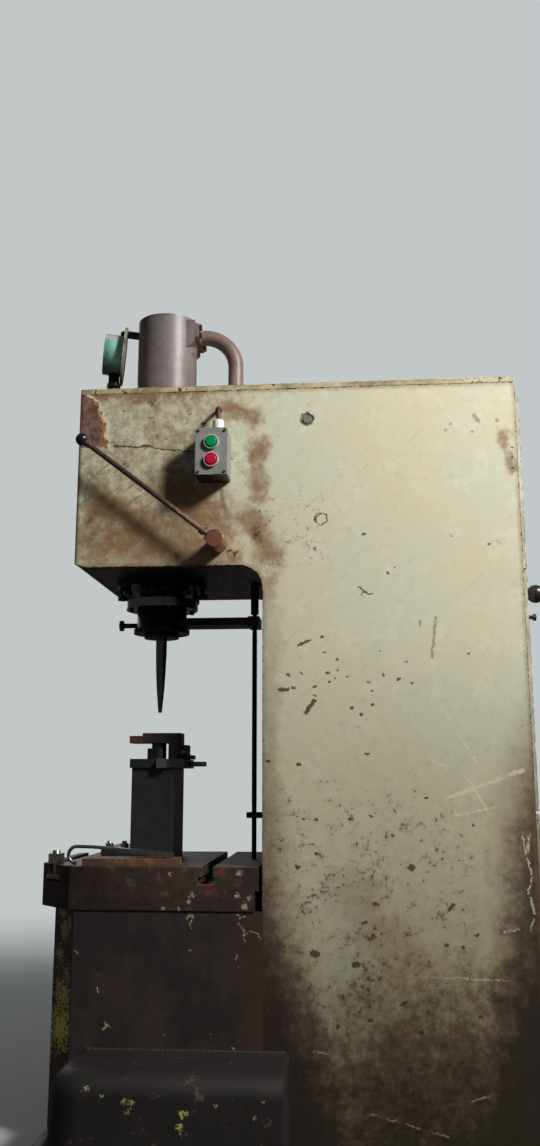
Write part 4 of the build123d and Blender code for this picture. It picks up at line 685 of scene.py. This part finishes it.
class Recipe(Nodes):
    """A Geometry Nodes tree with named inputs, which lays one small shape along a path again and
    again."""

    kinds = {
        "Path": "Geometry", "Step": "Float", "Size": "Vector", "Uneven": "Float", "Seed": "Int",
        "Material": "Material",
    }

    def __init__(self, name, shape):
        super().__init__(bpy.data.node_groups.new(name, "GeometryNodeTree"))
        self.ids = {}
        given = self.tree.nodes.new("NodeGroupInput")
        panel = self.tree.interface
        for label, kind in self.kinds.items():
            socket = panel.new_socket(label, in_out="INPUT", socket_type=f"NodeSocket{kind}")
            self.ids[label] = socket.identifier
        panel.new_socket("Result", in_out="OUTPUT", socket_type="NodeSocketGeometry")
        asked = {label: Shade(self, given.outputs[label]) for label in self.kinds}
        line = self.node("GeometryNodeMeshToCurve", sockets={"Mesh": asked["Path"]})
        along = {"Curve": line, "Length": asked["Step"]}
        places = self.node("GeometryNodeCurveToPoints", {"mode": "LENGTH"}, along)
        turn = Shade(self, places.socket.node.outputs["Rotation"])
        small = self.node(*shape)
        chance = {2: -1.0, 3: 1.0, "Seed": asked["Seed"]}
        spread = self.node("FunctionNodeRandomValue", {"data_type": "FLOAT"}, chance, 1)
        grown = spread * asked["Uneven"] + 1
        size = self.vector("SCALE", {0: asked["Size"], "Scale": grown})
        laid = {"Points": places, "Instance": small, "Rotation": turn, "Scale": size}
        row = self.node("GeometryNodeInstanceOnPoints", sockets=laid)
        real = self.node("GeometryNodeRealizeInstances", sockets={0: row})
        coated = {"Geometry": real, "Material": asked["Material"]}
        painted = self.node("GeometryNodeSetMaterial", sockets=coated)
        self.node("NodeGroupOutput", sockets={0: painted})


def lay(name, recipe, path, body, slot, finish, closed=False, **values):
    """Follows a recipe along a path of points, as one plain mesh that rides on a body."""
    links = [(i, i + 1) for i in range(len(path) - 1)]
    if closed:
        links.append((len(path) - 1, 0))
    line = bpy.data.meshes.new(f"{name}_path")
    line.from_pydata(path, links, [])
    piece = bpy.data.objects.new(name, line)
    bpy.context.scene.collection.objects.link(piece)
    row = piece.modifiers.new("row", "NODES")
    row.node_group = recipe.tree
    for label, value in {"Material": finish, "Seed": 7, "Uneven": 0.0, **values}.items():
        row[recipe.ids[label]] = value
    shown = piece.evaluated_get(bpy.context.evaluated_depsgraph_get())
    made = bpy.data.meshes.new_from_object(shown)
    piece.modifiers.clear()
    piece.data = made
    made.name = name
    for face in made.polygons:
        face.use_smooth = True
    made.set_sharp_from_angle(angle=radians(50))
    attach(piece, body)
    return piece


weld_out, weld_height, weld_start, weld_end = 0.2102, 0.1775, -0.088, 0.29
ball_shape = ("GeometryNodeMeshUVSphere", None, {"Segments": 10, "Rings": 6, "Radius": 1.0})
weld = Recipe("weld", ball_shape)
for name, side in (("near_foot_weld", -1), ("far_foot_weld", 1)):
    run = [(x, side * weld_out, weld_height) for x in (weld_start, weld_end)]
    lay(
        name, weld, run, "frame", "foot_paint", weld_black,
        Step=0.0035, Size=(0.0042, 0.0042, 0.0034), Uneven=0.12,
    )

# The bed is a thick steel slab with two T-slots across it, bolted down on the base. Its top is
# black with grease, its near side rusty with a few spots of fresher rust and bright knocks.
bed_rust = worn_paint(
    "bed_rust", card(74, 58, 52), card(108, 74, 52), card(42, 33, 29), bare=0.59, soil=0.9,
    scale=46, gloss=0.5, metal=0.2,
    patches=(
        (148, -213, 478, 20, card(104, 48, 36), 0.85),
        (128, -213, 492, 12, card(122, 62, 42), 0.8),
        (-185, -187, 475, 14, card(150, 74, 46), 0.8),
        (170, -213, 506, 12, card(122, 60, 40), 0.7),
        (68, -213, 502, 6, card(206, 196, 180), 0.8), (202, -213, 503, 8, FLAKE, 0.7),
        (111, -213, 462, 7, FLAKE, 0.9), (107, -213, 450, 6, FLAKE, 0.9),
        (55, -213, 437, 5, FLAKE, 0.8), (85, -213, 436, 4, FLAKE, 0.8),
        (200, -213, 463, 8, FLAKE, 0.8), (222, -213, 458, 6, FLAKE, 0.8),
        (215, -213, 441, 7, FLAKE, 0.8),
    ),
)
dress("bed_plate", bed_rust, bed_rust, 0.0012)

# The rear is closed by screwed-on sheets over the oil tank, with a loose screw and a knob on them,
# and the shelves of the tank between the sides. The sheets are painted as the sides are.
RUST = card(118, 66, 38)
cover_cream = worn_paint(
    "cover_cream", card(212, 208, 184), card(96, 74, 54), card(140, 122, 92), bare=0.62,
    soil=0.7, floor_grime=0.95,
)


def steel(
    name, tone, tarnish, share=0.5, gloss=0.35, scale=40, metal=1.0, pull=(1, 1, 1), rust=0.0,
):
    """Bare steel, tarnished in clouds. Pull draws its marks out, as grinding does."""
    bare = Finish(name, tone, gloss, metal)
    drawn = bare.node("ShaderNodeMapping", sockets={"Vector": bare.place, "Scale": pull})
    cloud = bare.noise(scale * 0.3, 6, 0.65)
    marks = bare.noise(scale * 4, 5, 0.65, drawn)
    bright = 0.28 * (1 - share)
    dull = (cloud * 0.6 + marks * 0.4).band(0.36 + bright, 0.46 + bright)
    colour = bare.mix(tone, tarnish, dull)
    clean = 0.72 - rust * 0.25
    rusty = bare.noise(scale * 1.4, 6, 0.7).band(clean, clean + 0.03) * min(1.0, rust * 4)
    colour = bare.mix(colour, RUST, rusty)
    return bare.wear(
        colour=colour,
        rough=marks * 0.22 + (gloss - 0.1) + dull * 0.14 + rusty * 0.3,
        metal=(1 - dull * 0.35) * (1 - rusty) * metal,
        normal=bare.bump(marks * 0.6 + cloud * 0.4, 0.5, 0.0003),
    )


screw_steel = steel("screw_steel", card(120, 116, 110), card(58, 50, 44), rust=0.25)
inner_steel = steel("inner_steel", card(74, 68, 64), card(46, 38, 34), rust=0.3, gloss=0.45)
knob_black = worn_paint(
    "knob_black", card(30, 30, 31), card(70, 66, 62), card(52, 48, 44), bare=0.68, gloss=0.3,
    scale=90,
)
dress("rear_covers", cover_cream, cream_edge, 0.0008)
dress("tank_cover", cover_cream, cream_edge, 0.0008)
dress("cover_screws", screw_steel, screw_steel, 0.0004)
dress("cover_knob", knob_black)
dress("inner_shelves", inner_steel)

# The cylinder is a painted steel barrel on the head, its lower flange bolted under the head's
# bottom plate, with a bronze bush for the ram.
barrel_paint = worn_paint(
    "barrel_paint", card(128, 118, 117), card(96, 76, 68), card(94, 84, 83), bare=0.655,
    soil=0.8, scale=36, gloss=0.45,
    patches=(
        (20, -70, 1550, 30, card(110, 86, 74), 0.5), (70, -20, 1670, 20, card(96, 68, 54), 0.6),
    ),
)
oily_black = worn_paint(
    "oily_black", card(40, 37, 36), card(90, 84, 80), card(22, 20, 20), bare=0.65, soil=0.8,
    scale=60, gloss=0.3, metal=0.5,
)
bronze = steel("bronze", card(168, 124, 74), card(92, 66, 40), gloss=0.4)
bolt_steel = steel("bolt_steel", card(104, 102, 98), card(40, 36, 33), share=0.6)
dress("cylinder_barrel", barrel_paint, barrel_paint, 0.001)
dress("cylinder_flange", oily_black, oily_black, 0.0008)
dress("flange_bolts", bolt_steel, None, 0.0005)
dress("guide_bush", bronze)

# The ram is a ground steel bar with a disc at its end. The tool holder hangs under it on set screws
# and grips the tapered punch with a ring nut and a clamp screw. All of it is black with old oil.
ram_steel = steel(
    "ram_steel", card(150, 150, 148), card(88, 84, 78), share=0.35, gloss=0.26, pull=(1, 1, 0.15),
)
holder_steel = steel(
    "holder_steel", card(70, 66, 62), card(28, 25, 23), share=0.6, gloss=0.32, scale=60,
    metal=0.8,
)
punch_steel = steel(
    "punch_steel", card(128, 130, 132), card(70, 68, 66), share=0.4, gloss=0.3, pull=(1, 1, 0.2),
)
holder_screw_steel = steel("holder_screw_steel", card(96, 92, 88), card(40, 36, 33), share=0.5)
dress("ram", ram_steel, ram_steel, 0.001)
dress("punch_holder", holder_steel, holder_steel, 0.001)
dress("holder_nut", holder_steel, holder_steel, 0.0006)
dress("holder_screws", holder_screw_steel, None, 0.0005)
dress("punch", punch_steel, None, 0.0003)

# The guide arm is clamped on the ram's disc and slides on the trip rod, a long threaded bar beside
# the column. Two collars on the rod set where the ram stops; sleeves and a bracket guide it.
guide_steel = steel(
    "guide_steel", card(66, 62, 58), card(34, 29, 26), share=0.55, gloss=0.4, metal=0.8, rust=0.2,
)
for part in ("guide_arm", "rod_guides"):
    dress(part, guide_steel, guide_steel, 0.0006)
dress("trip_rod", guide_steel)
dress("valve_spool", inner_steel)
disc_sizes = {"Vertices": 14, "Side Segments": 1, "Radius": 1.0, "Depth": 1.0}
thread = Recipe("thread", ("GeometryNodeMeshCylinder", None, disc_sizes))
rod_x = 0.212
for name, low, high in (("rod_thread_low", 0.632, 1.0), ("rod_thread_top", 1.15, 1.205)):
    lay(
        name, thread, [(rod_x, 0, low), (rod_x, 0, high)], "trip_rod", "guide_steel", guide_steel,
        Step=0.0036, Size=(0.0058, 0.0058, 0.0017),
    )

# The pressure port is a block welded on the barrel. A flanged pipe bends from it down into the top
# plate; its foot has a ring of weld.
pipe_paint = worn_paint(
    "pipe_paint", card(138, 118, 110), card(100, 68, 52), card(94, 76, 68), bare=0.61, soil=0.7,
    scale=44, gloss=0.46,
    patches=((165, 0, 1530, 30, RUST, 0.6), (100, -10, 1735, 14, card(120, 80, 58), 0.6)),
)


def ring(centre, radius, along, count=48):
    """Points on a circle round an axis."""
    turn = Vector(along).to_track_quat("Z", "Y")
    angles = (2 * pi * i / count for i in range(count))
    return [Vector(centre) + turn @ Vector((radius * cos(a), radius * sin(a), 0)) for a in angles]


dress("port_block", barrel_paint, barrel_paint, 0.0012)
dress("pipe_flange", pipe_paint, pipe_paint, 0.0006)
dress("feed_pipe", pipe_paint)
pipe_foot, pipe_ring = (0.165, 0, 1.5235), 0.0195
lay(
    "pipe_weld", weld, ring(pipe_foot, pipe_ring, (0, 0, 1)), "frame", "pipe_paint", pipe_paint,
    closed=True, Step=0.0034, Size=(0.0036, 0.0036, 0.003), Uneven=0.15,
)

# The pressure gauge stands on a bent stem in front of the cylinder and faces forward: a brass case
# with a back flange, gone green and dirty, a white dial behind glass, and a black pointer.
gauge_place, gauge_faces = (-0.10465, 0.00574, 1.682), (-0.97096, -0.22416, 0.08368)
flange_front, flange_end = 0.0062, 0.0072
case_brass = Finish("case_brass", card(120, 170, 158), 0.42)
_, _, case_z = case_brass.axes()
gauge_out = case_brass.vector("SUBTRACT", {0: case_brass.place, 1: gauge_place})
gauge_out = case_brass.vector("DOT_PRODUCT", {0: gauge_out, 1: gauge_faces}, "Value")
case_cloud = case_brass.noise(34, 7, 0.7)
case_grit = case_brass.noise(160, 5, 0.7)
case_height = case_z + (case_cloud - 0.5) * 0.03
case_dirt = (case_cloud * 0.45 + case_grit * 0.55).band(0.56, 0.62)
case_tone = case_brass.mix(card(164, 232, 216), card(112, 176, 164), gauge_out.band(0.026, 0.046))
case_tone = case_brass.mix(case_tone, card(204, 204, 196), case_height.band(1.7, 1.712))
# The case's very bottom is painted dark green-grey: painted shade.
case_tone = case_brass.mix(case_tone, card(60, 84, 80), case_height.band(1.652, 1.641) * 0.8)
case_tone = case_brass.mix(case_tone, card(24, 28, 27), case_dirt * 0.9)
flange_dirt = (case_cloud * 0.6 + case_grit * 0.4).band(0.46, 0.6)
flange_tone = case_brass.mix(card(150, 142, 122), card(64, 58, 50), flange_dirt)
case_brass.wear(
    colour=case_brass.mix(flange_tone, case_tone, gauge_out.band(flange_front, flange_end)),
    rough=case_grit * 0.3 + 0.28,
    normal=case_brass.bump(case_grit * 0.4 + case_cloud, 0.5, 0.0006),
)
dress("gauge_case", case_brass.material, case_brass.material, 0.0005)
dress("gauge_mounts", oily_black, oily_black, 0.0005)
dial_white = worn_paint(
    "dial_white", card(214, 210, 196), card(180, 170, 146), card(188, 178, 152), bare=0.7,
    soil=0.4, scale=60, gloss=0.5,
)
dress("gauge_dial", dial_white)

# The dial's scale is printed in black: forty divisions with a longer line at each number, and
# numbers from 0 to 400 round three quarters of the dial. The pointer turns over it, behind a
# dusty glass.
dial_depth = 0.0346
gauge_normal = Vector(gauge_faces)
gauge_right = Vector((0.22495, -0.97437, 0))
gauge_up = gauge_normal.cross(gauge_right)
dial_middle = Vector(gauge_place) + gauge_normal * dial_depth
dial_zero, dial_sweep, dial_steps, steps_a_number = 225, 270, 40, 10
tick_end, number_reach, number_height = 0.0435, 0.0295, 0.0085
long_tick, short_tick = (0.0375, 0.0005), (0.0402, 0.00025)


def on_dial(reach, angle, aside=0.0):
    """A place on the dial's face, at a reach from its middle and an angle from its right."""
    across = reach * cos(angle) - aside * sin(angle)
    up = reach * sin(angle) + aside * cos(angle)
    return dial_middle + gauge_right * across + gauge_up * up


marks = bmesh.new()
for step in range(dial_steps + 1):
    angle = radians(dial_zero - dial_sweep * step / dial_steps)
    start, half = short_tick if step % steps_a_number else long_tick
    corners = ((start, -half), (tick_end, -half), (tick_end, half), (start, half))
    marks.faces.new([marks.verts.new(on_dial(reach, angle, aside)) for reach, aside in corners])
bmesh.ops.solidify(marks, geom=marks.faces[:], thickness=0.0002)
bmesh.ops.recalc_face_normals(marks, faces=marks.faces[:])
# Solidify lists the new faces differently from run to run, so they are put in one fixed order.
marks.verts.index_update()
marks.faces.sort(key=lambda face: sum((len(marks.verts) + v.index) ** 2 for v in face.verts))
facing =Matrix((gauge_right, gauge_up, gauge_normal)).transposed().to_4x4()
for quarter, number in enumerate(("0", "100", "200", "300", "400")):
    letters = bpy.data.curves.new(f"number_{number}", "FONT")
    letters.body = number
    letters.size = number_height
    letters.extrude = 0.0001
    letters.align_x = "CENTER"
    letters.align_y = "CENTER"
    drawn = bpy.data.objects.new(f"number_{number}", letters)
    bpy.context.scene.collection.objects.link(drawn)
    shown = drawn.evaluated_get(bpy.context.evaluated_depsgraph_get())
    flat = bpy.data.meshes.new_from_object(shown)
    bpy.data.objects.remove(drawn)
    place = on_dial(number_reach, radians(dial_zero - dial_sweep * quarter / 4))
    flat.transform(Matrix.Translation(place) @ facing)
    marks.from_mesh(flat)
scale_mesh = bpy.data.meshes.new("gauge_scale")
marks.to_mesh(scale_mesh)
marks.free()
print_black = worn_paint(
    "print_black", card(26, 26, 28), card(120, 116, 104), card(60, 56, 52), bare=0.68, scale=220,
)
scale_mesh.materials.clear()
scale_mesh.materials.append(print_black)
gauge_scale = bpy.data.objects.new("gauge_scale", scale_mesh)
bpy.context.scene.collection.objects.link(gauge_scale)
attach(gauge_scale, "frame")
pointer_black = worn_paint(
    "pointer_black", card(20, 20, 21), card(60, 58, 55), card(34, 33, 32), bare=0.7, scale=200,
)
dress("gauge_pointer", pointer_black)
glass = Finish("glass", card(216, 222, 216), 0.06)
glass_dust = glass.noise(60, 6, 0.65)
glass.wear(
    rough=glass_dust.band(0.45, 0.75) * 0.3 + 0.04,
    alpha=glass_dust.band(0.42, 0.7) * 0.22 + 0.08,
)
dress("gauge_glass", glass.material)

# The button box is a small grey cast box, screwed to the near side at hand height. A green and a
# red button stand in chromed rings on its lid; a white gland at its top lets the cable in.
lid_edge = 1.2976
button_x, start_z, stop_z, bezel_bore, bore_step = 0.1467, 1.3672, 1.3288, 0.014, 0.0004
# The box's underside, below the lid's edge, is painted brown-black: rust, and painted shade.
box_grey = worn_paint(
    "box_grey", card(146, 146, 143), card(78, 66, 56), card(104, 100, 94), bare=0.64, soil=0.5,
    scale=90, gloss=0.45, rust_and_shade_below=lid_edge,
)
# The chromed rings are given no metal. Their flat pale grey-white, clouded darker, is a painted
# reflection of bright surroundings.
bezel = Finish("chrome", card(224, 232, 224), 0.3)
bezel_x, _, bezel_z = bezel.axes()
bezel_cloud = bezel.noise(160, 6, 0.7)
bezel_reflection_tone = bezel.mix(card(232, 238, 230), card(140, 148, 140), bezel_cloud.band(0.44, 0.6))
for button_z, tint in ((start_z, card(6, 132, 74)), (stop_z, card(184, 22, 52))):
    across, up = bezel_x - button_x, bezel_z - button_z
    off_axis = (across * across + up * up) ** 0.5 + (bezel_cloud - 0.5) * 0.004
    painted = off_axis.band(bezel_bore + bore_step, bezel_bore - bore_step)
    bezel_reflection_tone = bezel.mix(bezel_reflection_tone, tint, painted)
chrome = bezel.wear(
    colour=bezel_reflection_tone,
    rough=bezel_cloud * 0.3 + 0.15,
    normal=bezel.bump(bezel_cloud, 0.4, 0.0003),
)
green = worn_paint(
    "green", card(0, 150, 84), card(150, 190, 160), card(10, 96, 58), bare=0.68, soil=0.3,
    scale=120, gloss=0.3,
)
red = worn_paint(
    "red", card(206, 20, 56), card(216, 150, 150), card(140, 14, 36), bare=0.68, soil=0.3,
    scale=120, gloss=0.3,
)
gland_white = worn_paint(
    "gland_white", card(244, 242, 238), card(190, 160, 144), card(196, 184, 174), bare=0.68,
    soil=0.5, scale=120,
)
rubber = worn_paint(
    "rubber", card(92, 34, 34), card(60, 40, 36), card(58, 30, 28), bare=0.66, scale=160,
    gloss=0.5,
)
dress("control_box", box_grey, box_grey, 0.0008)
dress("control_box_lid", box_grey, box_grey, 0.0006)
dress("button_bezels", chrome, chrome, 0.0005)
dress("start_button", green, green, 0.0006)
dress("stop_button", red, red, 0.0006)
dress("cable_gland", gland_white, gland_white, 0.0004)
dress("control_cable", rubber)

# The hand lever turns in a bronze bush in the near side plate. Its hub is a forged boss with a
# turned end; the long round rod is pinned into it and ends in a black ball.
hub_copper = steel(
    "hub_copper", card(184, 122, 96), card(110, 74, 58), share=0.45, gloss=0.38, scale=70,
    metal=0.75,
)
# The rod's tan patch near the hub is worn paint and a painted highlight.
rod_brown = worn_paint(
    "rod_brown", card(92, 72, 62), card(150, 124, 104), card(50, 39, 34), bare=0.6, soil=0.8,
    scale=60, gloss=0.3, metal=0.5, patches=((110, -250, 1200, 50, card(150, 124, 104), 0.7),),
)
ball_black = worn_paint(
    "ball_black", card(30, 32, 35), card(58, 56, 54), card(40, 40, 40), bare=0.7, scale=120,
    gloss=0.22,
)
dress("lever_bush", bronze)
dress("lever_hub", hub_copper, hub_copper, 0.0006)
dress("lever_rod", rod_brown)
dress("lever_ball", ball_black)

# The oil works are closed in: a valve block on its shelf behind the lever, the pressure pipe, and
# motor with pump on the floor plate.
iron = worn_paint(
    "iron", card(84, 84, 82), card(104, 74, 56), card(50, 46, 42), bare=0.62, scale=50,
)
motor_paint = worn_paint(
    "motor_paint", card(70, 96, 104), card(60, 50, 44), card(48, 60, 62), bare=0.64, scale=40,
)
dress("valve_block", iron, iron, 0.001)
dress("pump", iron, iron, 0.001)
dress("motor", motor_paint, motor_paint, 0.001)
dress("motor_rotor", inner_steel)
dress("pressure_pipe", inner_steel)

# The tooling on the bed: a blued riser block on a toe, a die plate with its bush, and a rusty
# stripper bar held over the bush by nuts. Packing and a hook for drawing parts out lie in front.
riser_blue = worn_paint(
    "riser_blue", card(46, 48, 51), card(72, 62, 52), card(28, 28, 28), bare=0.65, soil=0.7,
    scale=44, gloss=0.4, metal=0.5,
)
fixture_steel = steel(
    "fixture_steel", card(92, 98, 104), card(50, 50, 52), share=0.5, gloss=0.4, scale=60,
    rust=0.1,
)
strip_rust = worn_paint(
    "strip_rust", card(66, 54, 52), card(98, 56, 44), card(40, 33, 32), bare=0.58, soil=0.7,
    scale=70, gloss=0.5, patches=((-50, -25, 775, 20, card(104, 52, 44), 0.8),),
)
packing_rust = worn_paint(
    "packing_rust", card(108, 78, 56), card(134, 84, 50), card(70, 54, 42), bare=0.57, soil=0.8,
    scale=60, gloss=0.6,
)
hook_steel = steel("hook_steel", card(150, 146, 140), card(92, 84, 76), share=0.45, gloss=0.38)
nut_steel = steel("nut_steel", card(176, 170, 158), card(96, 86, 74), share=0.35, gloss=0.36)
dress("riser_block", riser_blue, riser_blue, 0.001)
dress("die_plate", fixture_steel, fixture_steel, 0.0008)
dress("die_bush", fixture_steel, None, 0.0005)
dress("stripper_arm", strip_rust, strip_rust, 0.0008)
dress("fixture_screws", nut_steel, None, 0.0005)
dress("packing_plate", packing_rust, packing_rust, 0.0006)
dress("hook_tool", hook_steel)
